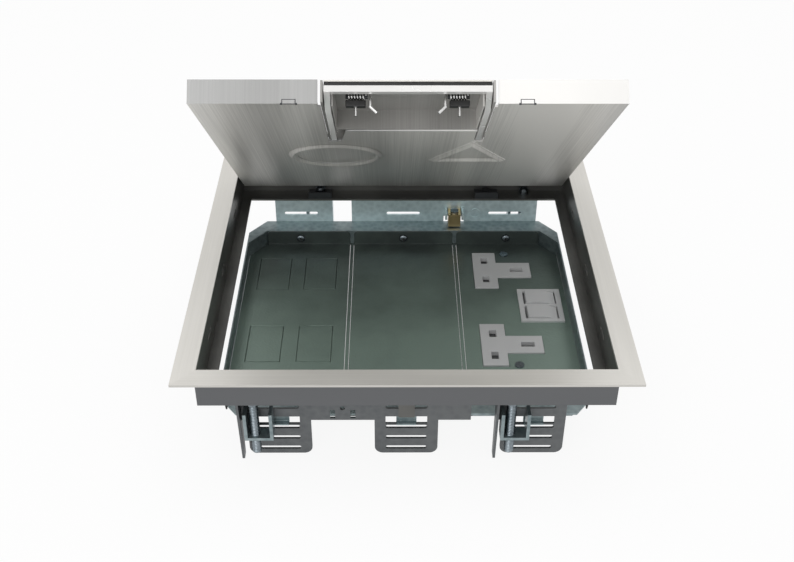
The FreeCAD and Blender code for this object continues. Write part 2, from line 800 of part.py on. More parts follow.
def octagon(half_x, half_y):
    """Rectangle about the middle with its four corners cut by the tray's chamfer."""
    x, y = half_x - s.tray_chamfer_long, half_y - s.tray_chamfer_short
    return [(-half_x, -y), (-x, -half_y), (x, -half_y), (half_x, -y), (half_x, y), (x, half_y), (-x, half_y),
            (-half_x, y)]


plate_top = top - s.plate_drop
plate_floor = plate_top - s.tray_sheet
screw_z = (tray_top + plate_top) / 2


def accessory_tray():
    """Open frame with a flat rim, walls and two dividers; its tongues hook in the end plates."""
    body = new_body("accessory_tray")
    thick = s.tray_sheet
    inside = octagon(tray_x - thick, tray_inner)
    pad(body, "XY", tray_top - thick, tray_top, octagon(tray_x, plate_y), inside)
    pad(body, "XY", wall_low, tray_top, octagon(tray_x, tray_inner + thick), inside)
    for side in (-1, 1):
        x = divider_x * side
        pad(body, "XY", wall_low, plate_top,
            rect(x - s.divider / 2, x + s.divider / 2, -tray_inner - thick, tray_inner + thick))
    half = s.lug_tab_width / 2
    for i in (-1, 0, 1):
        x = s.bay_pitch * i
        for side in (-1, 1):
            upright = rect(x - half, x + half, *mirrored(side, plate_y - thick, plate_y))
            pad(body, "XY", window_low, tray_top, upright)
            hook = rect(x - half, x + half, *mirrored(side, plate_y - thick, plate_y + s.plate_sheet * 2))
            pad(body, "XY", window_low, window_low + thick, hook)


def accessory_plate(label, column):
    """Flat plate with two bent-up ends, screwed against the tray's end walls."""
    body = new_body(label)
    centre = s.bay_pitch * column
    cut_x, cut_y = s.tray_chamfer_long, tray_inner - s.tray_chamfer_short
    reach = divider_x - s.divider / 2 - s.plate_play
    far = tray_x - s.tray_sheet - s.plate_play
    end_low, end_high = centre - reach, centre + reach
    outline = [(end_low, -tray_inner), (end_high, -tray_inner), (end_high, tray_inner), (end_low, tray_inner)]
    if column < 0:
        end_low = cut_x - far
        outline = [(end_low, -tray_inner), (end_high, -tray_inner), (end_high, tray_inner),
                   (end_low, tray_inner), (-far, cut_y), (-far, -cut_y)]
    if column > 0:
        end_high = far - cut_x
        outline = [(end_low, -tray_inner), (end_high, -tray_inner), (far, -cut_y), (far, cut_y),
                   (end_high, tray_inner), (end_low, tray_inner)]
    pad(body, "XY", plate_floor, plate_top, outline)
    radius = s.plate_end_corner
    end_top = tray_top - s.plate_play
    for side in (-1, 1):
        pad(body, "XZ", *mirrored(side, tray_inner - s.tray_sheet, tray_inner), [
            (end_low, plate_floor), (end_high, plate_floor), (end_high, end_top, radius),
            (end_low, end_top, radius)])
    return body


def data_plate():
    body = accessory_plate("data_plate", -1)
    for x, y in data_places():
        pocket(body, "XY", plate_floor, plate_top, centred_rect(x, y, s.data_width, s.data_length))


def data_places():
    rear = tray_inner - s.data_rear
    return [(s.data_pitch / 2 * side - s.bay_pitch, rear - s.data_row_pitch * row)
            for row in (0, 1) for side in (-1, 1)]


def data_blanks():
    """Blanks that fill the data openings flush, each with a catch under the plate."""
    names = ("data_blank_rear_left", "data_blank_rear_right", "data_blank_front_left", "data_blank_front_right")
    for name, (x, y) in zip(names, data_places()):
        body = new_body(name)
        gap, lip = s.data_gap * 2, s.data_lip * 2
        low = plate_floor - s.running_play * 2
        pad(body, "XY", low, plate_top, centred_rect(x, y, s.data_width - gap, s.data_length - gap))
        pad(body, "XY", low - s.tray_sheet, low, centred_rect(x, y, s.data_width + lip, s.data_length + lip))


def blank_plate():
    accessory_plate("blank_plate", 0)


sockets_y = [tray_inner - s.socket_rear, tray_inner - s.socket_rear - s.socket_pitch]
switch_y = (sockets_y[0] + sockets_y[1]) / 2
line_x = s.bay_pitch - s.line_offset
switch_x = s.bay_pitch + s.switch_offset
face_top = plate_top + s.socket_stand
face_low = face_top - s.socket_thickness
fixing_x = s.bay_pitch - s.fixing_offset


def tee(y, grow):
    """Outline of a socket face: a stem along the power pins and an arm over the earth pin."""
    left, right = line_x - s.stem_width / 2 - grow, line_x + s.stem_width / 2 + grow
    far = line_x + s.stem_width / 2 + s.arm_length + grow
    stem, arm = s.stem_length / 2 + grow, s.socket_arm_width / 2 + grow
    return [(left, y - stem), (right, y - stem), (right, y - arm), (far, y - arm), (far, y + arm),
            (right, y + arm), (right, y + stem), (left, y + stem)]


def fixing_places():
    return [(fixing_x, switch_y + s.fixing_pitch / 2 * side) for side in (-1, 1)]


def power_plate():
    body = accessory_plate("power_plate", 1)
    pocket(body, "XY", plate_floor, plate_top, *[tee(y, s.plate_play) for y in sockets_y])
    pocket(body, "XY", plate_floor, plate_top,
           centred_rect(switch_x, switch_y, s.switch_width - s.switch_lip * 2, s.switch_length - s.switch_lip * 2))
    pocket(body, "XY", plate_floor, plate_top, *[circle(x, y, s.terminal_screw) for x, y in fixing_places()])


def socket_face(label, y):
    body = new_body(label)
    pad(body, "XY", face_low, face_top, tee(y, 0))
    power = [centred_rect(line_x, y + s.pin_spacing / 2 * side, s.pin_slot_short, s.pin_slot_long)
             for side in (-1, 1)]
    earth = centred_rect(line_x + s.pin_spacing, y, s.earth_slot_long, s.pin_slot_short)
    pocket(body, "XY", face_low, face_top, *power, earth)


housing_low = top - s.housing_drop


def socket_housing():
    """Moulded back of the twin socket, a walled box screwed under the power plate."""
    body = new_body("socket_housing")
    reach = s.fixing_pitch / 2 + s.housing_overhang
    left, right = s.bay_pitch - s.housing_left, s.bay_pitch + s.housing_right
    low_y, high_y = switch_y - reach, switch_y + reach
    wall = s.housing_wall
    pad(body, "XY", housing_low, plate_floor, rect(left, right, low_y, high_y))
    pocket(body, "XY", housing_low + wall, plate_floor,
           rect(left + wall, right - wall, low_y + wall, high_y - wall))
    for x, y in fixing_places():
        pad(body, "XY", housing_low + wall / 2, plate_floor, circle(x, y, s.screw_head * 1.4))
        pocket(body, "XY", plate_floor - s.screw_head * 2, plate_floor, circle(x, y, s.terminal_screw))


def socket_fixings():
    body = new_body("socket_fixings")
    for x, y in fixing_places():
        pad(body, "XY", plate_top, plate_top + s.screw_head_height / 2, circle(x, y, s.screw_head))
        pad(body, "XY", plate_floor - s.screw_head * 1.5, plate_top,
            circle(x, y, s.terminal_screw - s.running_play * 2))


def socket_contacts():
    """Brass leaves in pairs on the housing's floor, one pair under each pin slot."""
    body = new_body("socket_contacts")
    low = housing_low + s.housing_wall
    high = low + s.contact_height
    half_gap, leaf = s.contact_gap / 2, s.contact_sheet
    for y in sockets_y:
        places = [(line_x, y + s.pin_spacing / 2 * side) for side in (-1, 1)]
        places.append((line_x + s.pin_spacing, y))
        for x, place_y in places:
            width = s.pin_slot_long
            pad(body, "YZ", x - half_gap - leaf, x - half_gap,
                rect(place_y - width / 2, place_y + width / 2, low, high))
            pad(body, "YZ", x + half_gap, x + half_gap + leaf,
                rect(place_y - width / 2, place_y + width / 2, low, high))
            pad(body, "XY", low, low + leaf, centred_rect(x, place_y, s.contact_gap + leaf * 2, width))


def shutter(label, y):
    """Sliding shutter under both power slots, with a nose that the earth pin pushes."""
    body = new_body(label)
    high = face_low - s.shutter_play
    low = high - s.shutter_thickness
    pad(body, "XY", low, high, centred_rect(line_x, y, s.shutter_width, s.shutter_length))
    pad(body, "XY", low, high, rect(line_x, line_x + s.shutter_nose,
                                    y - s.pin_slot_short / 2, y + s.pin_slot_short / 2))


rocker_z = plate_top - s.rocker_pivot_depth
rockers_y = [switch_y + s.rocker_pitch / 2, switch_y - s.rocker_pitch / 2]
skirt_low = plate_top - s.switch_skirt


def switch_surround():
    body = new_body("switch_surround")
    pad(body, "XY", plate_top, plate_top + s.switch_stand,
        centred_rect(switch_x, switch_y, s.switch_width, s.switch_length))
    skirt = (s.switch_lip + s.plate_play) * 2
    pad(body, "XY", skirt_low, plate_top + s.switch_stand / 2,
        centred_rect(switch_x, switch_y, s.switch_width - skirt, s.switch_length - skirt))
    openings = [centred_rect(switch_x, y, s.rocker_width + s.rocker_play * 4, s.rocker_length + s.rocker_play)
                for y in rockers_y]
    pocket(body, "XY", skirt_low, plate_top + s.switch_stand, *openings)
    rod_hole = circle(switch_x, rocker_z, s.rocker_rod + s.running_play * 2)
    pocket(body, "XZ", switch_y - s.switch_length / 2, switch_y + s.switch_length / 2, rod_hole)


def rocker_rod():
    body = new_body("rocker_rod")
    half = s.rocker_pitch / 2 + s.rocker_length / 2 + s.rocker_play
    pad(body, "XZ", switch_y - half, switch_y + half, circle(switch_x, rocker_z, s.rocker_rod))


def rocker(label, y):
    """Rocker with a shallow ridge, held tilted on the rod."""
    body = new_body(label)
    half, shoulder, rise = s.rocker_width / 2, s.rocker_shoulder, s.rocker_rise
    pad(body, "XZ", -s.rocker_length / 2, s.rocker_length / 2, [
        (-half, -1), (-half * 0.4, -s.rocker_rod), (half * 0.4, -s.rocker_rod), (half, -1), (half, shoulder),
        (0, rise), (-half, shoulder)])
    pocket(body, "XZ", -s.rocker_length / 2, s.rocker_length / 2, circle(0, 0, s.rocker_rod + s.running_play * 2))
    place(body, switch_x, y, rocker_z, Rotation(Vector(0, 1, 0), s.rocker_tilt.value))
    body.setExpression("Placement.Rotation.Angle", f"{s.rocker_tilt.text} * 1 deg")


def plate_screws():
    """One screw through each bent-up plate end into the tray's end wall."""
    body = new_body("plate_screws")
    face = tray_inner - s.tray_sheet
    for i in (-1, 0, 1):
        x = s.bay_pitch * i
        pad(body, "XZ", face - s.screw_head_height, face, circle(x, screw_z, s.screw_head))
        pad(body, "XZ", -face, s.screw_head_height - face, circle(x, screw_z, s.screw_head))


def earth_terminal():
    """Screw clamp held between the rear plate's lugs."""
    body = new_body("earth_terminal")
    x = s.lug_centre
    half = s.terminal_width / 2
    low = top - s.terminal_drop
    high = low + s.terminal_height
    pad(body, "XY", low, high, rect(x - half, x + half, plate_y - s.lug_reach - 1, plate_y))
    bore_y = plate_y - s.lug_reach / 2 - 1
    pocket(body, "XY", low + 2, high, circle(x, bore_y, s.terminal_screw + s.running_play * 2))
    pocket(body, "YZ", x - half, x + half, rect(bore_y - 2, bore_y + 2, low + 2, low + 5))


def earth_screw():
    body = new_body("earth_screw")
    high = top - s.terminal_drop + s.terminal_height
    bore_y = plate_y - s.lug_reach / 2 - 1
    pad(body, "XY", high - 4, high, circle(s.lug_centre, bore_y, s.terminal_screw))
    pad(body, "XY", high, high + s.screw_head_height, circle(s.lug_centre, bore_y, s.screw_head))
    pocket(body, "XY", high + 0.8, high + s.screw_head_height,
           centred_rect(s.lug_centre, bore_y, s.screw_head, 1))


# ---- clamps ---------------------------------------------------------------------------------------------

bush_top = ledge_under - s.running_play * 2
head_seat = ledge_top + s.running_play * 2


def clamp_screw(label, x, y, seat):
    """Turned screw: slotted head on the ledge, collar under it, long shank with a pointed end."""
    body = new_body(label)
    shank = s.clamp_screw / 2
    foot = top - s.clamp_drop
    collar = s.bush_diameter / 2
    head = s.clamp_head / 2
    rim = 1.0
    revolve(body, [(0, foot), (shank - 1, foot), (shank, foot + 1), (shank, bush_top - s.bush_height),
                   (collar, bush_top - s.bush_height), (collar, bush_top), (shank, bush_top), (shank, seat),
                   (head, seat), (head, seat + s.clamp_head_height - rim),
                   (head - rim, seat + s.clamp_head_height), (0, seat + s.clamp_head_height)])
    pocket(body, "XY", seat + s.clamp_head_height - 1.4, seat + s.clamp_head_height,
           centred_rect(0, 0, s.clamp_head, 1.4))
    place(body, x, y)


def clamp_claw(label, x, y):
    """Folded claw with a tapped web: a cheek close to the screw and one further off."""
    body = new_body(label)
    low = top - s.claw_drop
    high = low + s.claw_height
    near, far, depth, thick = s.claw_near, s.claw_far, s.claw_depth / 2, s.claw_sheet
    pad(body, "XZ", -depth, depth, [
        (-near, low), (far, low), (far, high), (far - thick, high), (far - thick, low + thick),
        (thick - near, low + thick), (thick - near, high), (-near, high)])
    pocket(body, "XY", low, low + thick, circle(0, 0, clamp_bore))
    place(body, x, y, 0, Rotation(Vector(0, 0, 1), 180 if y.value > 0 else 0))


trim_frame()
hinge_pins()
lid_rests()
hinge_brackets()
lid_tray()
handle_well()
handle_pins()
handle_bail()
handle_strip()
grip_plate()
latch_springs()
latch_blocks()
latch_pins()
latch_wire("latch_wire_left", -1)
latch_wire("latch_wire_right", 1)
end_plates()
accessory_tray()
data_plate()
data_blanks()
blank_plate()
power_plate()
plate_screws()
socket_face("socket_face_rear", sockets_y[0])
socket_face("socket_face_front", sockets_y[1])
socket_housing()
socket_fixings()
socket_contacts()
shutter("shutter_rear", sockets_y[0])
shutter("shutter_front", sockets_y[1])
switch_surround()
rocker_rod()
rocker("rocker_rear", rockers_y[0])
rocker("rocker_front", rockers_y[1])
earth_terminal()
earth_screw()
for name, (x, y) in CLAMPS.items():
    seat = head_seat + s.bracket_sheet if name == "rear_left" else head_seat
    clamp_screw(f"clamp_screw_{name}", x, y, seat)
    clamp_claw(f"clamp_claw_{name}", x, y)

doc.recompute()

for item in doc.Objects:
    if "Invalid" in item.State or "Error" in item.State:
        raise RuntimeError(f"{item.Label} did not build: {item.State}")
os.makedirs("parts", exist_ok=True)
for body in bodies:
    shape = body.Shape
    if shape.isNull() or not shape.isValid() or not shape.Solids:
        raise RuntimeError(f"{body.Label} has no valid shape")
    shape.exportStep(f"parts/{body.Label}.step")
print(len(bodies), "nodes written")
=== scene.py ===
import json
import math
import bmesh
import bpy
import numpy as np
from mathutils import Matrix, Vector


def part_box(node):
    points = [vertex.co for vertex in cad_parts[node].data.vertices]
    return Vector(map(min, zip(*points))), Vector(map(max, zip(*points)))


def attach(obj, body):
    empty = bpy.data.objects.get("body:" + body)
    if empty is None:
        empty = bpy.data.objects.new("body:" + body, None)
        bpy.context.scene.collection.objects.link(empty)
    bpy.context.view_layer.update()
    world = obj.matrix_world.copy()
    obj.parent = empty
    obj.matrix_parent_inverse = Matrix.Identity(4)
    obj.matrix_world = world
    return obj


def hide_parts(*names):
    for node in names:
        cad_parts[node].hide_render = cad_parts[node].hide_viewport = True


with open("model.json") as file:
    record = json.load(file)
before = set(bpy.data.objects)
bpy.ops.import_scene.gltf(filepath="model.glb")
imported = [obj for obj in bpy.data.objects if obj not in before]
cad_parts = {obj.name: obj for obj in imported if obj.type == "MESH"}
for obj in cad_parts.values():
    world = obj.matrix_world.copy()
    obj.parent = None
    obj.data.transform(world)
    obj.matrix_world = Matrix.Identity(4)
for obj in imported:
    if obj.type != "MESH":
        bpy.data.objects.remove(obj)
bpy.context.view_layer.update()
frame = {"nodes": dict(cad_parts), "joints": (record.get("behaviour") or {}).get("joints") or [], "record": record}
bodyOf = {node: body for body, nodes in frame["record"]["behaviour"]["bodies"].items() for node in nodes}
slotOf = {part["node"]: part["material_slot"] for part in frame["record"]["subparts"]}
jointOf = {joint["name"]: joint for joint in frame["joints"]}
print("frame loaded:", len(slotOf), "nodes")


# places read from the frame
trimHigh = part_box("trim_frame")[1]
lidHinge = Vector(jointOf["lid_hinge"]["pos_m"])
lidAngle = -math.radians(jointOf["lid_hinge"]["range_deg"][0])   # how far the lid stands open
lidTurn = Matrix.Rotation(-lidAngle, 4, "X")
lidFrame = Matrix.Translation(lidHinge) @ lidTurn                 # closed-lid axes -> where the lid is


def pointsOf(node):
    mesh = frame["nodes"][node].data
    spots = np.empty(len(mesh.vertices) * 3)
    mesh.vertices.foreach_get("co", spots)
    return spots.reshape(-1, 3)


def carry(matrix, spots):
    turned = np.array(matrix.to_3x3())
    return np.asarray(spots, float) @ turned.T + np.array(matrix.translation)


def lidBox(node):
    spots = carry(lidFrame.inverted(), pointsOf(node))
    return Vector(spots.min(0)), Vector(spots.max(0))


# shader groups, each built once
def newGroup(name, inputs, outputs):
    group = bpy.data.node_groups.new(name, "ShaderNodeTree")
    for socket, kind, value in inputs:
        item = group.interface.new_socket(socket, in_out="INPUT", socket_type=kind)
        if value is not None:
            item.default_value = value
    for socket, kind in outputs:
        group.interface.new_socket(socket, in_out="OUTPUT", socket_type=kind)
    return group, group.nodes.new("NodeGroupInput"), group.nodes.new("NodeGroupOutput")


def addNode(tree, kind, settings=None, values=None):
    node = tree.nodes.new(kind)
    for name, value in (settings or {}).items():
        setattr(node, name, value)
    for name, value in (values or {}).items():
        node.inputs[name].default_value = value
    return node


def calc(tree, operation, first, second=None, third=None):
    node = addNode(tree, "ShaderNodeMath", {"operation": operation})
    for index, value in enumerate((first, second, third)):
        if value is None:
            continue
        if isinstance(value, (int, float)):
            node.inputs[index].default_value = value
        else:
            tree.links.new(value, node.inputs[index])
    return node.outputs[0]


def buildBrushed():
    # two noises on the stretched place: the grain runs along the axis that is stretched least
    group, start, end = newGroup(
        "brushedGrain",
        [("Vector", "NodeSocketVector", None), ("Stretch", "NodeSocketVector", (6, 900, 900)),
         ("Broad", "NodeSocketVector", (3, 25, 25))],
        [("Fine", "NodeSocketFloat"), ("Wide", "NodeSocketFloat")])
    for stretch, detail, outlet in (("Stretch", 3.0, "Fine"), ("Broad", 2.0, "Wide")):
        scale = addNode(group, "ShaderNodeVectorMath", {"operation": "MULTIPLY"})
        noise = addNode(group, "ShaderNodeTexNoise",
                        values={"Scale": 1.0, "Detail": detail, "Roughness": 0.6})
        group.links.new(start.outputs["Vector"], scale.inputs[0])
        group.links.new(start.outputs[stretch], scale.inputs[1])
        group.links.new(scale.outputs[0], noise.inputs["Vector"])
        group.links.new(noise.outputs["Fac"], end.inputs[outlet])
    return group


def buildMottle():
    # zinc spangle: cells broken by noise, with a softer cloud over them
    group, start, end = newGroup(
        "zincMottle", [("Vector", "NodeSocketVector", None), ("Size", "NodeSocketFloat", 220.0)],
        [("Cells", "NodeSocketFloat"), ("Cloud", "NodeSocketFloat")])
    warp = addNode(group, "ShaderNodeTexNoise", values={"Scale": 160.0, "Detail": 4.0})
    mix = addNode(group, "ShaderNodeVectorMath", {"operation": "MULTIPLY_ADD"})
    mix.inputs[1].default_value = (0.004, 0.004, 0.004)
    cells = addNode(group, "ShaderNodeTexVoronoi", {"feature": "F1"}, {"Randomness": 1.0})
    cloud = addNode(group, "ShaderNodeTexNoise", values={"Scale": 24.0, "Detail": 5.0, "Roughness": 0.55})
    group.links.new(start.outputs["Vector"], warp.inputs["Vector"])
    group.links.new(warp.outputs["Color"], mix.inputs[0])
    group.links.new(start.outputs["Vector"], mix.inputs[2])
    group.links.new(mix.outputs[0], cells.inputs["Vector"])
    group.links.new(start.outputs["Size"], cells.inputs["Scale"])
    group.links.new(start.outputs["Vector"], cloud.inputs["Vector"])
    group.links.new(cells.outputs["Distance"], end.inputs["Cells"])
    group.links.new(cloud.outputs["Fac"], end.inputs["Cloud"])
    return group


brushedGrain = buildBrushed()
zincMottle = buildMottle()


def newMaterial(name, values):
    material = bpy.data.materials.new(name)
    material.use_nodes = True
    tree = material.node_tree
    shader = tree.nodes["Principled BSDF"]
    for socket, value in values.items():
        shader.inputs[socket].default_value = value
    place = addNode(tree, "ShaderNodeTexCoord")
    return material, tree, shader, place.outputs["Object"]


def useGroup(tree, group, values=None):
    node = addNode(tree, "ShaderNodeGroup", {"node_tree": group})
    for name, value in (values or {}).items():
        node.inputs[name].default_value = value
    return node


def blendColour(tree, factor, first, second):
    mix = addNode(tree, "ShaderNodeMix", {"data_type": "RGBA"})
    for socket, value in ((mix.inputs[0], factor), (mix.inputs[6], first), (mix.inputs[7], second)):
        if isinstance(value, (tuple, list)):
            socket.default_value = (*value, 1.0)
        elif isinstance(value, (int, float)):
            socket.default_value = value
        else:
            tree.links.new(value, socket)
    return mix.outputs[2]


def remap(tree, value, low, high, fromLow=0.3, fromHigh=0.7):
    node = addNode(tree, "ShaderNodeMapRange", values={
        "From Min": fromLow, "From Max": fromHigh, "To Min": low, "To Max": high})
    tree.links.new(value, node.inputs["Value"])
    return node.outputs["Result"]


def bumpFrom(tree, shader, height, strength, distance):
    bump = addNode(tree, "ShaderNodeBump", values={"Strength": strength, "Distance": distance})
    tree.links.new(height, bump.inputs["Height"])
    tree.links.new(bump.outputs["Normal"], shader.inputs["Normal"])


def makeTrimSteel():
    # the two dark colours below the flange are painted shade, the outer one partly the wall's dull finish
    look = {"pale": (0.68, 0.665, 0.63), "deep": (0.56, 0.545, 0.51), "wall": (0.14, 0.144, 0.15),
            "inside": (0.10, 0.10, 0.095), "insideShadePatch": 1.9, "rough": (0.34, 0.46), "mitre": 0.0008,
            "flangeSheet": 0.0017, "flangeReach": 0.0123, "bandShare": 0.7, "bump": 0.08}
    material, tree, shader, place = newMaterial("trimSteel", {"Metallic": 0.72})
    axes = addNode(tree, "ShaderNodeSeparateXYZ")
    tree.links.new(place, axes.inputs[0])
    acrossX = calc(tree, "ABSOLUTE", axes.outputs["X"])
    acrossY = calc(tree, "ABSOLUTE", axes.outputs["Y"])
    # the grain turns at the corner, where a point's distance past the mitre changes sign
    past = calc(tree, "SUBTRACT", calc(tree, "SUBTRACT", acrossX, acrossY), trimHigh.x - trimHigh.y)
    onSide = remap(tree, past, 0.0, 1.0, -look["mitre"], look["mitre"])
    grain = []
    along = useGroup(tree, brushedGrain, {"Stretch": (9, 1100, 900), "Broad": (3, 30, 30)})
    sideways = useGroup(tree, brushedGrain, {"Stretch": (1100, 9, 900), "Broad": (30, 3, 30)})
    for group in (along, sideways):
        tree.links.new(place, group.inputs["Vector"])
    for outlet in ("Fine", "Wide"):
        mix = addNode(tree, "ShaderNodeMix", {"data_type": "FLOAT"})
        tree.links.new(onSide, mix.inputs[0])
        tree.links.new(along.outputs[outlet], mix.inputs[2])
        tree.links.new(sideways.outputs[outlet], mix.inputs[3])
        grain.append(mix.outputs[0])
    fine, wide = grain
    both = calc(tree, "MULTIPLY_ADD", wide, look["bandShare"],
                calc(tree, "MULTIPLY", fine, 1 - look["bandShare"]))
    face = blendColour(tree, remap(tree, both, 0.0, 1.0, 0.3, 0.7), look["deep"], look["pale"])
    # below the flange the section is painted darker: outside, its dull unpolished finish with painted shade;
    # inside, darker still as painted shade in the box, in cloudy patches
    below = calc(tree, "LESS_THAN", axes.outputs["Z"], trimHigh.z - look["flangeSheet"])
    outside = calc(tree, "MAXIMUM", calc(tree, "GREATER_THAN", acrossX, trimHigh.x - look["flangeReach"]),
                   calc(tree, "GREATER_THAN", acrossY, trimHigh.y - look["flangeReach"]))
    cloud = addNode(tree, "ShaderNodeTexNoise", values={"Scale": 18.0, "Detail": 3.0})
    tree.links.new(place, cloud.inputs["Vector"])
    inside = blendColour(tree, remap(tree, cloud.outputs["Fac"], 0.0, 1.0), look["inside"],
                         tuple(channel * look["insideShadePatch"] for channel in look["inside"]))
    lowerWallShade = blendColour(tree, outside, inside, look["wall"])
    tree.links.new(blendColour(tree, below, face, lowerWallShade), shader.inputs["Base Color"])
    tree.links.new(remap(tree, wide, *look["rough"]), shader.inputs["Roughness"])
    bumpFrom(tree, shader, fine, look["bump"], 0.0002)
    return material


def makeBrushedSheet(name, pale, deep, metallic, rough, turn=0.0, paintedLightSide=None):
    # grain runs along the sheet, which stands turned about X; an optional paler colour blended in towards +X is
    # painted light on that side
    look = {"grain": (1300, 7, 7), "grainAndSheenBands": (20, 1.2, 1.2), "bandShare": 0.8, "paintedLightFrom": -0.03,
            "paintedLightTo": 0.05, "bump": 0.1}
    material, tree, shader, place = newMaterial(name, {"Metallic": metallic})
    lay = addNode(tree, "ShaderNodeMapping")
    lay.inputs["Rotation"].default_value = (turn, 0, 0)
    grain = useGroup(tree, brushedGrain, {"Stretch": look["grain"], "Broad": look["grainAndSheenBands"]})
    tree.links.new(place, lay.inputs["Vector"])
    tree.links.new(lay.outputs[0], grain.inputs["Vector"])
    # broad bands carry most of the colour: partly brushing tone, partly painted reflection streaks
    fine = calc(tree, "MULTIPLY", grain.outputs["Fine"], 1 - look["bandShare"])
    both = calc(tree, "MULTIPLY_ADD", grain.outputs["Wide"], look["bandShare"], fine)
    face = blendColour(tree, remap(tree, both, 0.0, 1.0, 0.42, 0.58), deep, pale)
    # painted light: the sheet turns paler towards +X
    if paintedLightSide:
        axes = addNode(tree, "ShaderNodeSeparateXYZ")
        tree.links.new(place, axes.inputs[0])
        share = remap(tree, axes.outputs["X"], 0.0, 1.0, look["paintedLightFrom"], look["paintedLightTo"])
        face = blendColour(tree, share, face, paintedLightSide)
    tree.links.new(face, shader.inputs["Base Color"])
    tree.links.new(remap(tree, grain.outputs["Wide"], *rough), shader.inputs["Roughness"])
    bumpFrom(tree, shader, grain.outputs["Fine"], look["bump"], 0.0002)
    return material


def makeZinc(name, deep, pale, metallic, rough, size=260.0, bump=0.12):
    material, tree, shader, place = newMaterial(name, {"Metallic": metallic})
    mottle = useGroup(tree, zincMottle, {"Size": size})
    tree.links.new(place, mottle.inputs["Vector"])
    cloud = calc(tree, "MULTIPLY", mottle.outputs["Cloud"], 0.8)
    shade = calc(tree, "MULTIPLY_ADD", mottle.outputs["Cells"], 0.35, cloud)
    tree.links.new(blendColour(tree, remap(tree, shade, 0.0, 1.0, 0.3, 0.75), deep, pale),
                   shader.inputs["Base Color"])
    tree.links.new(remap(tree, mottle.outputs["Cloud"], *rough), shader.inputs["Roughness"])
    bumpFrom(tree, shader, mottle.outputs["Cells"], bump, 0.0004)
    return material


def makeTrayZinc(dark, pale):
    # the tray's rim and walls are bluish; below the plates' top the dividers are painted as dark as the plates,
    # painted shade between the plates
    look = {"deep": (0.15, 0.19, 0.20), "pale": (0.30, 0.36, 0.37), "rough": (0.32, 0.46),
            "socketStand": 0.001, "over": 0.0002, "past": 0.004}
    material = makeZinc("trayZinc", look["deep"], look["pale"], 0.8, look["rough"])
    tree = material.node_tree
    shader = tree.nodes["Principled BSDF"]
    face = shader.inputs["Base Color"].links[0].from_socket
    place = addNode(tree, "ShaderNodeTexCoord")
    axes = addNode(tree, "ShaderNodeSeparateXYZ")
    tree.links.new(place.outputs["Object"], axes.inputs[0])
    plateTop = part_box("socket_face_rear")[1].z - look["socketStand"]
    across = calc(tree, "ABSOLUTE", axes.outputs["X"])
    low = calc(tree, "LESS_THAN", axes.outputs["Z"], plateTop + look["over"])
    middle = calc(tree, "LESS_THAN", across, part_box("blank_plate")[1].x + look["past"])
    cloud = addNode(tree, "ShaderNodeTexNoise", values={"Scale": 300.0, "Detail": 3.0})
    tree.links.new(place.outputs["Object"], cloud.inputs["Vector"])
    shade = blendColour(tree, cloud.outputs["Fac"], dark, pale)
    # painted shade on the dividers between the plates
    between = calc(tree, "MULTIPLY", low, middle)
    tree.links.new(blendColour(tree, between, face, shade), shader.inputs["Base Color"])
    return material


def makePlateZinc():
    # tray plates: fine pebbled lacquer, with painted shade making them darker towards the hinge and paler towards
    # the front
    look = {"rear": (0.055, 0.070, 0.066), "front": (0.245, 0.325, 0.283), "rough": (0.28, 0.44),
            "rearEnd": 0.092, "frontEnd": -0.02, "patch": 0.16, "pebble": 520.0, "bump": 0.22}
    material, tree, shader, place = newMaterial("zincPlate", {"Metallic": 0.25})
    axes = addNode(tree, "ShaderNodeSeparateXYZ")
    tree.links.new(place, axes.inputs[0])
    # painted shade: the plates darken from the front towards the hinge
    forward = addNode(tree, "ShaderNodeMapRange", values={
        "From Min": look["rearEnd"], "From Max": look["frontEnd"], "To Min": 0.0, "To Max": 1.0})
    tree.links.new(axes.outputs["Y"], forward.inputs["Value"])
    mottle = useGroup(tree, zincMottle, {"Size": look["pebble"]})
    tree.links.new(place, mottle.inputs["Vector"])
    patch = remap(tree, mottle.outputs["Cloud"], -look["patch"], look["patch"])
    share = calc(tree, "ADD", forward.outputs["Result"], patch)
    tree.links.new(blendColour(tree, share, look["rear"], look["front"]), shader.inputs["Base Color"])
    tree.links.new(remap(tree, mottle.outputs["Cloud"], *look["rough"]), shader.inputs["Roughness"])
    bumpFrom(tree, shader, mottle.outputs["Cells"], look["bump"], 0.0004)
    return material


def makeMoulded(name, colour, rough, metallic=0.0, grainSize=900.0, bump=0.08):
    material, tree, shader, place = newMaterial(name, {"Metallic": metallic})
    grain = addNode(tree, "ShaderNodeTexNoise", values={"Scale": grainSize, "Detail": 3.0})
    cloud = addNode(tree, "ShaderNodeTexNoise", values={"Scale": 30.0, "Detail": 3.0})
    for noise in (grain, cloud):
        tree.links.new(place, noise.inputs["Vector"])
    darker = tuple(channel * 0.86 for channel in colour)
    tree.links.new(blendColour(tree, cloud.outputs["Fac"], darker, colour), shader.inputs["Base Color"])
    tree.links.new(remap(tree, cloud.outputs["Fac"], rough - 0.05, rough + 0.06), shader.inputs["Roughness"])
    bumpFrom(tree, shader, grain.outputs["Fac"], bump, 0.0001)
    return material


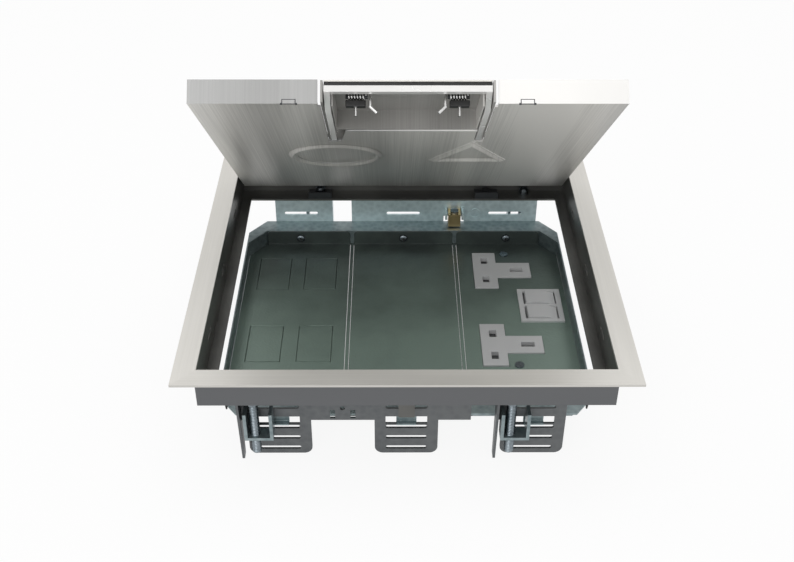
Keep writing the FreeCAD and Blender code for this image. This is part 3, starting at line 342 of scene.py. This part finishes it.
materials = {
    "stainless": makeTrimSteel(),
    "lid_steel": makeBrushedSheet("lidSteel", (0.74, 0.725, 0.69), (0.42, 0.41, 0.39), 0.2, (0.34, 0.50),
                                  turn=lidAngle),
    "lid_rim": makeBrushedSheet("lidRim", (0.43, 0.43, 0.425), (0.35, 0.35, 0.345), 0.5, (0.36, 0.46),
                                turn=lidAngle, paintedLightSide=(0.84, 0.83, 0.81)),
    "zinc": makeZinc("zincSheet", (0.17, 0.22, 0.235), (0.34, 0.40, 0.41), 0.85, (0.30, 0.46)),
    "zinc_dark": makePlateZinc(),
    "pin_steel": makeBrushedSheet("pinSteel", (0.82, 0.82, 0.81), (0.66, 0.66, 0.65), 1.0, (0.18, 0.28)),
    "screw_steel": makeZinc("screwSteel", (0.12, 0.145, 0.16), (0.26, 0.295, 0.32), 1.0, (0.22, 0.34),
                            800.0, 0.05),
    "handle_metal": makeMoulded("handleMetal", (0.90, 0.89, 0.87), 0.24, 0.35, 500.0, 0.03),
    "dark_steel": makeMoulded("darkSteel", (0.055, 0.058, 0.062), 0.42, 0.6),
    "dark_rubber": makeMoulded("darkRubber", (0.022, 0.022, 0.022), 0.62),
    "black_plastic": makeMoulded("blackPlastic", (0.028, 0.028, 0.028), 0.40),
    "grey_plastic": makeMoulded("greyPlastic", (0.66, 0.665, 0.67), 0.42),
    "housing_plastic": makeMoulded("housingPlastic", (0.10, 0.105, 0.105), 0.5),
    "contact_brass": makeMoulded("contactBrass", (0.62, 0.46, 0.24), 0.3, 1.0),
}
nodeMaterials = {
    "accessory_tray": makeTrayZinc((0.05, 0.066, 0.062), (0.09, 0.12, 0.11)),
    # one zinc in two copies: front end plates painted dark as shade, rear end plates painted pale as lit
    "end_plate_front_long": makeZinc("frontPlateZincShaded", (0.105, 0.112, 0.118), (0.15, 0.158, 0.162), 0.55,
                                     (0.4, 0.52)),
    "handle_well": makeBrushedSheet("wellSteel", (0.43, 0.42, 0.405), (0.30, 0.295, 0.28), 0.3, (0.36, 0.50)),
    "end_plate_rear_long": makeZinc("rearPlateZincLit", (0.44, 0.56, 0.58), (0.70, 0.83, 0.85), 0.5,
                                    (0.3, 0.44)),
}
for end in ("front", "rear"):
    nodeMaterials[f"end_plate_{end}_short"] = nodeMaterials[f"end_plate_{end}_long"]
print("materials ready:", len(materials) + len(set(nodeMaterials.values())))


def meshFrom(name, spots, faces, smooth=True):
    mesh = bpy.data.meshes.new(name)
    mesh.from_pydata([tuple(spot) for spot in np.asarray(spots, float)], [], [tuple(face) for face in faces])
    mesh.validate()
    mesh.polygons.foreach_set("use_smooth", np.full(len(mesh.polygons), smooth))
    piece = bpy.data.objects.new(name, mesh)
    bpy.context.collection.objects.link(piece)
    return piece


def gridFaces(rows, columns, closeRows=False, closeColumns=False):
    # quads between neighbouring rows and columns of a grid, wrapped round where the surface closes
    i, j = np.meshgrid(np.arange(rows if closeRows else rows - 1),
                       np.arange(columns if closeColumns else columns - 1), indexing="ij")
    up, across = (i + 1) % rows, (j + 1) % columns
    return np.stack([i * columns + j, i * columns + across, up * columns + across, up * columns + j],
                    -1).reshape(-1, 4)


def faceOut(piece):
    shape = bmesh.new()
    shape.from_mesh(piece.data)
    bmesh.ops.remove_doubles(shape, verts=shape.verts, dist=1e-6)
    bmesh.ops.recalc_face_normals(shape, faces=shape.faces)
    shape.to_mesh(piece.data)
    shape.free()


def turnedPiece(name, profile, base, axis=(0, 0, 1), sides=40):
    # profile of (radius, height) turned about the axis through base; its ends close on the axis
    profile = np.asarray(profile, float)
    around = np.linspace(0, 2 * math.pi, sides, endpoint=False)
    ring = np.stack([np.cos(around), np.sin(around)], -1)
    spots = np.concatenate([profile[:, None, :1] * ring[None], np.repeat(profile[:, None, 1:], sides, 1)], -1)
    turn = Vector((0, 0, 1)).rotation_difference(Vector(axis)).to_matrix().to_4x4()
    spots = carry(Matrix.Translation(Vector(base)) @ turn, spots.reshape(-1, 3))
    piece = meshFrom(name, spots, gridFaces(len(profile), sides, closeColumns=True))
    faceOut(piece)
    return piece


def tubePiece(name, path, radius, sides=12):
    # round section carried along a path; each ring stands square to the path's direction there
    path = np.asarray(path, float)
    ahead = np.gradient(path, axis=0)
    ahead /= np.linalg.norm(ahead, axis=1, keepdims=True)
    guide = np.array([0.31, 0.52, 0.79])   # a direction that no path here runs along
    left = np.cross(ahead, guide)
    left /= np.linalg.norm(left, axis=1, keepdims=True)
    above = np.cross(left, ahead)
    around = np.linspace(0, 2 * math.pi, sides, endpoint=False)
    radii = np.full(len(path), radius)
    # a ring of almost no radius closes each end
    path = np.concatenate([path[:1], path, path[-1:]])
    left = np.concatenate([left[:1], left, left[-1:]])
    above = np.concatenate([above[:1], above, above[-1:]])
    radii = np.concatenate([[1e-5], radii, [1e-5]])
    spots = path[:, None] + radii[:, None, None] * (np.cos(around)[None, :, None] * left[:, None]
                                                    + np.sin(around)[None, :, None] * above[:, None])
    piece = meshFrom(name, spots.reshape(-1, 3), gridFaces(len(path), sides, closeColumns=True))
    faceOut(piece)
    return piece


def finishPiece(piece, body, slot, material=None):
    piece.data.materials.clear()
    piece.data.materials.append(material or materials[slot])
    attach(piece, body)


# width of the eased edge on folded sheet and mouldings
easedEdges = {
    "trim_frame": 0.0003, "lid_tray": 0.0005, "handle_well": 0.0003, "grip_plate": 0.0004,
    "handle_bail": 0.0009, "handle_strip": 0.0003, "end_plate_rear_long": 0.0003,
    "end_plate_rear_short": 0.0003, "end_plate_front_long": 0.0003, "end_plate_front_short": 0.0003,
    "accessory_tray": 0.0003, "data_plate": 0.0003, "blank_plate": 0.0003, "power_plate": 0.0003,
    "data_blank_rear_left": 0.00018, "data_blank_rear_right": 0.00018, "data_blank_front_left": 0.00018,
    "data_blank_front_right": 0.00018, "socket_face_rear": 0.0003, "socket_face_front": 0.0003,
    "switch_surround": 0.0003, "rocker_rear": 0.0006, "rocker_front": 0.0006, "hinge_brackets": 0.0003,
    "latch_blocks": 0.0005, "earth_terminal": 0.0004, "socket_housing": 0.0004,
    "clamp_claw_front_left": 0.0003, "clamp_claw_front_right": 0.0003, "clamp_claw_rear_left": 0.0003,
    "clamp_claw_rear_right": 0.0003,
}


def easeEdges(node, width):
    # a copy of the CAD node, its triangles merged to flat faces, then bevelled where faces meet sharply
    size = {"merge": 2e-6, "flatAngle": 0.6, "sharpAngle": 28, "segments": 2}
    piece = bpy.data.objects.new(node + "_eased", frame["nodes"][node].data.copy())
    bpy.context.collection.objects.link(piece)
    shape = bmesh.new()
    shape.from_mesh(piece.data)
    bmesh.ops.remove_doubles(shape, verts=shape.verts, dist=size["merge"])
    bmesh.ops.dissolve_limit(shape, angle_limit=math.radians(size["flatAngle"]), verts=shape.verts,
                             edges=shape.edges)
    for edge in shape.edges:
        edge.smooth = len(edge.link_faces) == 2 and edge.calc_face_angle(0) < math.radians(size["sharpAngle"])
    for face in shape.faces:
        face.smooth = True
    shape.to_mesh(piece.data)
    shape.free()
    bevel = piece.modifiers.new("ease", "BEVEL")
    bevel.width = width
    bevel.segments = size["segments"]
    bevel.limit_method = "ANGLE"
    bevel.angle_limit = math.radians(size["sharpAngle"])
    bevel.use_clamp_overlap = True
    bevel.harden_normals = True
    finishPiece(piece, bodyOf[node], slotOf[node], nodeMaterials.get(node))
    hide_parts(node)
    return piece


eased = {node: easeEdges(node, width) for node, width in easedEdges.items()}
for node, item in frame["nodes"].items():
    item.data.materials.clear()
    item.data.materials.append(nodeMaterials.get(node) or materials[slotOf[node]])
    for polygon in item.data.polygons:
        polygon.use_smooth = False
print("edges eased on", len(eased), "nodes")


def paleRim():
    # faces of the lid that look forward, sideways or back are the rim
    across = 0.4   # most that such a face's normal shares with the underside's
    piece = eased["lid_tray"]
    piece.data.materials.append(materials["lid_rim"])
    under = np.array(lidTurn.to_3x3()) @ np.array((0, 0, 1))
    for polygon in piece.data.polygons:
        if abs(float(np.dot(np.array(polygon.normal), under))) < across:
            polygon.material_index = 1


paleRim()


def signRing():
    # cross-section turned about the ring's centre: height = crest times cosine squared across the width
    size = {"diameter": 0.054, "offset": -0.044, "back": 0.123, "width": 0.0052, "crest": 0.0016,
            "edge": 0.0003, "sunk": 0.0004, "sides": 144, "across": 13}
    low = lidBox("lid_tray")[0]
    centre = Vector((size["offset"], low.y + size["back"], low.z))
    around = np.linspace(0, 2 * math.pi, size["sides"], endpoint=False)
    offset = np.linspace(-0.5, 0.5, size["across"])
    radius = size["diameter"] / 2 + offset * size["width"]
    drop = size["crest"] * np.cos(offset * math.pi) ** 2 - size["edge"]
    spots = np.stack([centre.x + radius[None] * np.cos(around)[:, None],
                      centre.y + radius[None] * np.sin(around)[:, None],
                      np.broadcast_to(centre.z - drop, (size["sides"], size["across"]))], -1)
    # a flat back sunk in the sheet closes the bead
    back = spots[:, ::-1].copy()
    back[..., 2] = centre.z + size["sunk"]
    spots = np.concatenate([spots, back], 1)
    ring = meshFrom("signRing", carry(lidFrame, spots.reshape(-1, 3)),
                    gridFaces(size["sides"], spots.shape[1], True, True))
    faceOut(ring)
    finishPiece(ring, "lid", "lid_steel")


def signTriangle():
    # three rounded bars between the corners, each swept with the same raised section
    size = {"base": 0.050, "height": 0.051, "offset": 0.040, "back": 0.137, "width": 0.0054, "crest": 0.0018,
            "edge": 0.0003, "sunk": 0.0004, "across": 13}
    low = lidBox("lid_tray")[0]
    baseY = low.y + size["back"]
    corners = np.array([(size["offset"] - size["base"] / 2, baseY), (size["offset"], baseY - size["height"]),
                        (size["offset"] + size["base"] / 2, baseY)])
    middle = corners.mean(0)
    outward = []
    for k in range(3):
        before, here, after = corners[k - 1], corners[k], corners[(k + 1) % 3]
        first = (here - before) / np.linalg.norm(here - before)
        second = (after - here) / np.linalg.norm(after - here)
        # offsetting both edges by one moves the corner along the bisector by this much
        normals = [np.array([side[1], -side[0]]) for side in (first, second)]
        if np.dot(normals[0], here - middle) < 0:
            normals = [-normal for normal in normals]
        bisector = normals[0] + normals[1]
        outward.append(bisector / (1 + np.dot(normals[0], normals[1])))
    outward = np.array(outward)
    # section: height = crest times cosine squared across the width, with a flat back sunk in the sheet
    offset = np.linspace(-0.5, 0.5, size["across"])
    crest = low.z + size["edge"] - size["crest"] * np.cos(offset * math.pi) ** 2
    offset = np.append(offset, [0.5, -0.5])
    crest = np.append(crest, [low.z + size["sunk"]] * 2)
    rings = corners[None] + outward[None] * (offset[:, None, None] - 0.5) * size["width"]
    spots = np.concatenate([rings, np.broadcast_to(crest[:, None, None], (len(offset), 3, 1))], -1)
    triangle = meshFrom("signTriangle", carry(lidFrame, spots.reshape(-1, 3)),
                        gridFaces(len(spots), 3, True, True), False)
    faceOut(triangle)
    finishPiece(triangle, "lid", "lid_steel")


signRing()
signTriangle()


def bentSheet(name, low, high, ease, material=None):
    # a short length of sheet on the lid, between two corners in closed-lid axes, its edges rounded by a bevel
    low, high = np.asarray(low, float), np.asarray(high, float)
    shape = bmesh.new()
    bmesh.ops.create_cube(shape, size=1.0)
    for vertex in shape.verts:
        local = low + (np.array(vertex.co) + 0.5) * (high - low)
        vertex.co = lidFrame @ Vector(local)
    bmesh.ops.bevel(shape, geom=list(shape.edges), offset=ease, segments=2, profile=0.5, affect="EDGES",
                    clamp_overlap=True)
    mesh = bpy.data.meshes.new(name)
    shape.to_mesh(mesh)
    shape.free()
    piece = bpy.data.objects.new(name, mesh)
    bpy.context.collection.objects.link(piece)
    faceOut(piece)
    finishPiece(piece, "lid", "lid_steel", material)


def wellSides():
    # flanges of the well, folded down beside the handle's arms, and a rolled lip along its rear edge
    size = {"sheet": 0.0007, "mouth": 0.0067, "back": 0.056, "fromArm": 0.0038, "foot": 0.0011,
            "head": 0.0006, "rearGap": 0.001, "ease": 0.0002, "lip": 0.00075, "lipStart": 0.006,
            "lipRise": 0.0002, "lipPoints": 24}
    low = lidBox("lid_tray")[0]
    ceiling = lidBox("latch_springs")[1].z
    half = lidBox("handle_bail")[1].x - size["fromArm"]
    for side, name in ((-1, "Left"), (1, "Right")):
        edges = sorted((side * half, side * (half - size["sheet"])))
        bentSheet(f"wellSide{name}", (edges[0], low.y + size["mouth"], low.z + size["foot"]),
                  (edges[1], low.y + size["back"] - size["rearGap"], ceiling + size["head"]), size["ease"])
    along = np.linspace(-half + size["lipStart"], half, size["lipPoints"])
    lip = np.stack([along, np.full_like(along, low.y + size["back"] + size["lipRise"]),
                    np.full_like(along, low.z + size["lipRise"])], -1)
    roll = tubePiece("wellLip", carry(lidFrame, lip), size["lip"])
    finishPiece(roll, "lid", "lid_steel", materials["lid_rim"])


def rimTabs():
    # small tabs lanced in the lid's rim, one each side of the handle, each in a gap with two relief cuts; gap and
    # cuts are dark boxes, painted shade
    size = {"offset": 0.0625, "width": 0.0066, "height": 0.0021, "proud": 0.0003, "lift": 0.0006,
            "sunk": 0.0006, "tabEase": 0.0002, "gap": 0.0004, "gapFoot": 0.0004, "gapEase": 0.00005,
            "cut": 0.0012, "cutFoot": 0.0001, "cutHead": 0.0011, "cutProud": 0.00012, "cutEase": 0.0001}
    low = lidBox("lid_tray")[0]
    half, inside = size["width"] / 2, low.y + size["sunk"]
    for side, name in ((-1, "Left"), (1, "Right")):
        middle = side * size["offset"]
        # painted shade: a dark box stands in the gap round the tab
        bentSheet(f"rimGapShade{name}",
                  (middle - half - size["gap"], low.y - size["proud"] / 2, low.z + size["gapFoot"]),
                  (middle + half + size["gap"], inside, low.z + size["lift"] + size["height"] + size["gap"]),
                  size["gapEase"], materials["dark_steel"])
        bentSheet(f"rimTab{name}",
                  (middle - half, low.y - size["proud"], low.z + size["lift"]),
                  (middle + half, inside, low.z + size["lift"] + size["height"]),
                  size["tabEase"], materials["lid_rim"])
        for end, letter in ((-1, "A"), (1, "B")):
            place = middle + end * (half + size["cut"] / 2)
            # painted shade: a dark box stands in each relief cut
            bentSheet(f"rimCutShade{name}{letter}",
                      (place - size["cut"] / 2, low.y - size["cutProud"], low.z + size["cutFoot"]),
                      (place + size["cut"] / 2, inside, low.z + size["cutHead"]),
                      size["cutEase"], materials["dark_steel"])


wellSides()
rimTabs()
print("lid dressed")


def shadeDividerTops():
    # tops of the tray's dividers lie flush between the plates and take the plates' dark zinc as painted shade
    size = {"reach": 0.045, "endWall": 0.018, "sunk": 0.005}
    piece = eased["accessory_tray"]
    piece.data.materials.append(materials["zinc_dark"])
    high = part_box("accessory_tray")[1]
    tops = [polygon for polygon in piece.data.polygons
            if polygon.normal.z > 0.5 and abs(polygon.center.x) < size["reach"]
            and abs(polygon.center.y) < high.y - size["endWall"] and polygon.center.z < high.z - size["sunk"]]
    for polygon in tops:
        polygon.material_index = len(piece.data.materials) - 1
    print("divider tops:", len(tops))


def restTails():
    # pull-through tails of the lid rests, narrowing to a point below the ledge
    size = {"root": 0.0011, "tip": 0.0005, "length": 0.0046, "inset": 0.0025, "overlap": 0.0004, "points": 8}
    low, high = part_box("lid_rests")
    heights = np.linspace(low.z + size["overlap"], low.z - size["length"], size["points"])
    radius = np.linspace(size["root"], size["tip"], size["points"])
    for name, x in (("Left", low.x + size["inset"]), ("Right", high.x - size["inset"])):
        path = np.stack([np.full_like(heights, x), np.full_like(heights, (low.y + high.y) / 2), heights], -1)
        finishPiece(tubePiece(f"restTail{name}", path, radius), "base", "dark_rubber")


shadeDividerTops()
restTails()


def clampScrews():
    # thread: the radius depends on height less the turn, so the crest climbs one pitch a turn
    size = {"pitch": 0.0012, "crest": 0.0029, "threadDepth": 0.00045, "steep": 1.3, "crestFlat": 0.15,
            "pointLength": 0.0018, "pointStart": 0.0006, "pointLeast": 0.3, "belowFlange": 0.0027,
            "perTurn": 10, "sides": 32}
    sides = size["sides"]
    around = np.linspace(0, 2 * math.pi, sides, endpoint=False)
    for node in [name for name in slotOf if name.startswith("clamp_screw_")]:
        low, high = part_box(node)
        centre = (low + high) / 2
        threadTop = min(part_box("end_plate_front_long")[1].z, high.z) - size["belowFlange"]
        heights = np.arange(low.z, threadTop, size["pitch"] / size["perTurn"])
        wave = (heights[:, None] / size["pitch"] - around[None] / (2 * math.pi)) % 1.0
        groove = np.clip(2 * np.abs(wave - 0.5) * size["steep"] - size["crestFlat"], 0, 1)
        point = np.clip((heights - low.z + size["pointStart"]) / size["pointLength"], size["pointLeast"], 1.0)
        radius = (size["crest"] - size["threadDepth"] * groove) * point[:, None]
        rings = np.stack([centre.x + radius * np.cos(around), centre.y + radius * np.sin(around),
                          np.broadcast_to(heights[:, None], radius.shape)], -1).reshape(-1, 3)
        rings = np.concatenate([rings, [(centre.x, centre.y, heights[0]), (centre.x, centre.y, heights[-1])]])
        first, last, top = len(rings) - 2, len(rings) - 1, (len(heights) - 1) * sides
        faces = [tuple(face) for face in gridFaces(len(heights), sides, closeColumns=True)]
        faces += [(first, (k + 1) % sides, k) for k in range(sides)]
        faces += [(last, top + k, top + (k + 1) % sides) for k in range(sides)]
        thread = meshFrom(node + "_thread", rings, faces)
        faceOut(thread)
        finishPiece(thread, bodyOf[node], slotOf[node])


clampScrews()


def springCoils():
    # helix about an axis along X: angle grows with the distance along the axis; a dark core fills it
    size = {"wire": 0.0005, "turns": 6.5, "points": 200, "span": 0.011, "coreShare": 0.7, "coreOver": 0.001,
            "corePoints": 6}
    low, high = lidBox("latch_springs")
    centreX, centreY, centreZ = (low + high) / 2
    radius = (high.z - low.z) / 2 - size["wire"]
    length = high.x - lidBox("latch_blocks")[1].x + size["span"]
    coreReach = length / 2 + size["coreOver"]
    for side, name in ((-1, "Left"), (1, "Right")):
        middle = centreX + side * (high.x - length / 2 - centreX)
        turn = np.linspace(0, size["turns"], size["points"])
        helix = np.stack([middle + (turn / size["turns"] - 0.5) * length,
                          centreY + radius * np.cos(turn * 2 * math.pi),
                          centreZ + radius * np.sin(turn * 2 * math.pi)], -1)
        along = np.linspace(middle - coreReach, middle + coreReach, size["corePoints"])
        axis = np.stack([along, np.full_like(along, centreY), np.full_like(along, centreZ)], -1)
        coil = tubePiece(f"latchCoil{name}", carry(lidFrame, helix), size["wire"], 10)
        core = tubePiece(f"latchCore{name}", carry(lidFrame, axis), radius * size["coreShare"], 16)
        finishPiece(coil, "lid", "pin_steel")
        finishPiece(core, "lid", "pin_steel", materials["dark_steel"])
        if side < 0:
            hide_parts("latch_springs")


springCoils()
print("threads and spring coils ready")


def panHead(name, base, axis, radius, height):
    # domed head: radius falls as the cosine while the height rises as the sine, then a cross recess on top
    size = {"steps": 8, "crown": 0.86, "rimShare": 0.3, "foot": 0.98, "crossLength": 0.62, "crossWidth": 0.13,
            "crossFoot": 0.8, "crossTop": 1.02, "crossTurn": 0.3}
    sweep = np.linspace(0, math.pi / 2, size["steps"])
    dome = np.stack([radius * np.cos(sweep * size["crown"]),
                     height * (size["rimShare"] + (1 - size["rimShare"]) * np.sin(sweep))], -1)
    profile = np.concatenate([[[1e-5, 0.0], [radius * size["foot"], 0.0]], dome, [[1e-5, height]]])
    head = turnedPiece(name, profile, base, axis)
    finishPiece(head, "base", "screw_steel")
    turn = Vector((0, 0, 1)).rotation_difference(Vector(axis)).to_matrix().to_4x4()
    seat = Matrix.Translation(Vector(base)) @ turn
    length, width = radius * size["crossLength"], radius * size["crossWidth"]
    corners = ((-length, -width), (length, -width), (length, width), (-length, width))
    levels = (height * size["crossFoot"], height * size["crossTop"])
    bar = np.array([(x, y, z) for z in levels for x, y in corners])
    faces = [(3, 2, 1, 0), (4, 5, 6, 7), (0, 1, 5, 4), (1, 2, 6, 5), (2, 3, 7, 6), (3, 0, 4, 7)]
    # the cross recess is painted shade: two black bars standing through the dome
    for index in (0, 1):
        spin = Matrix.Rotation(size["crossTurn"] + index * math.pi / 2, 4, "Z")
        cross = meshFrom(f"{name}_cross{index}", carry(seat @ spin, bar), faces, False)
        finishPiece(cross, "base", "screw_steel", materials["dark_rubber"])
    return head


def plateScrewHeads():
    # one head in the middle of each bay's end, facing into the tray
    size = {"height": 0.0024}
    low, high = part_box("plate_screws")
    radius = (high.z - low.z) / 2
    middle = (high.z + low.z) / 2
    pitch = (high.x - low.x - radius * 2) / 2
    ends = ((-1, "Front", low.y), (1, "Rear", high.y))
    heads = [panHead(f"plateScrew{i + 2}{name}", (i * pitch, y, middle), (0, -side, 0), radius,
                     size["height"]) for i in (-1, 0, 1) for side, name, y in ends]
    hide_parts("plate_screws")
    print("plate screw heads:", len(heads))


plateScrewHeads()


def makeFloor():
    size = {"half": 6.0, "glow": 0.91, "tone": 0.9}
    corners = [(x * size["half"], y * size["half"], 0) for x, y in ((-1, -1), (1, -1), (1, 1), (-1, 1))]
    floor = meshFrom("studioFloor", corners, [(0, 1, 2, 3)], False)
    material = bpy.data.materials.new("floorPaper")
    material.use_nodes = True
    tree = material.node_tree
    shader = tree.nodes["Principled BSDF"]
    shader.inputs["Base Color"].default_value = (size["tone"], size["tone"], size["tone"], 1)
    shader.inputs["Roughness"].default_value = 0.9
    shader.inputs["Specular IOR Level"].default_value = 0.0
    glow = addNode(tree, "ShaderNodeEmission", values={"Color": (1, 1, 1, 1), "Strength": 1.0})
    rays = addNode(tree, "ShaderNodeLightPath")
    seen = calc(tree, "MAXIMUM", rays.outputs["Is Camera Ray"],
                calc(tree, "MAXIMUM", rays.outputs["Is Glossy Ray"], rays.outputs["Is Transmission Ray"]))
    mix = addNode(tree, "ShaderNodeMixShader")
    tree.links.new(calc(tree, "MULTIPLY", seen, size["glow"]), mix.inputs[0])
    tree.links.new(shader.outputs[0], mix.inputs[1])
    tree.links.new(glow.outputs[0], mix.inputs[2])
    tree.links.new(mix.outputs[0], tree.nodes["Material Output"].inputs["Surface"])
    floor.data.materials.append(material)


def makeWorld():
    # full strength where it is seen or mirrored, dimmer as a light
    size = {"light": 0.55, "seen": 1.0}
    world = bpy.data.worlds.new("studio")
    bpy.context.scene.world = world
    world.use_nodes = True
    tree = world.node_tree
    background = tree.nodes["Background"]
    rays = addNode(tree, "ShaderNodeLightPath")
    seen = calc(tree, "MAXIMUM", rays.outputs["Is Camera Ray"],
                calc(tree, "MAXIMUM", rays.outputs["Is Glossy Ray"], rays.outputs["Is Transmission Ray"]))
    strength = calc(tree, "MULTIPLY_ADD", seen, size["seen"] - size["light"], size["light"])
    tree.links.new(strength, background.inputs["Strength"])
    background.inputs["Color"].default_value = (1, 1, 1, 1)


def makeLamp(name, place, target, size, power):
    light = bpy.data.lights.new(name, "AREA")
    light.shape = "RECTANGLE"
    light.size, light.size_y = size
    light.energy = power
    lamp = bpy.data.objects.new(name, light)
    lamp.matrix_world = Matrix.Translation(Vector(place)) @ (Vector(target) - Vector(place)).to_track_quat(
        "-Z", "Y").to_matrix().to_4x4()
    bpy.context.collection.objects.link(lamp)


def makeCamera():
    view = {"place": (-0.0091, -0.5771, 0.4751), "down": 36.251, "yaw": 0.396, "roll": 0.194, "lens": 49.54}
    camera = bpy.data.cameras.new("camera")
    camera.lens = view["lens"]
    camera.sensor_width = 36.0
    camera.clip_start = 0.01
    eye = bpy.data.objects.new("camera", camera)
    eye.matrix_world = (Matrix.Translation(Vector(view["place"]))
                        @ Matrix.Rotation(math.radians(-view["yaw"]), 4, "Z")
                        @ Matrix.Rotation(math.radians(90 - view["down"]), 4, "X")
                        @ Matrix.Rotation(math.radians(view["roll"]), 4, "Z"))
    bpy.context.collection.objects.link(eye)
    bpy.context.scene.camera = eye


makeFloor()
makeWorld()
makeLamp("overhead", (0.0, 0.1, 1.5), (0, 0, 0.05), (1.4, 1.2), 9.0)
makeLamp("frontFill", (-0.5, -1.3, 1.0), (0, 0, 0.1), (1.0, 0.8), 5.0)
makeCamera()
bpy.context.scene.view_settings.view_transform = "Standard"
print("stage set")
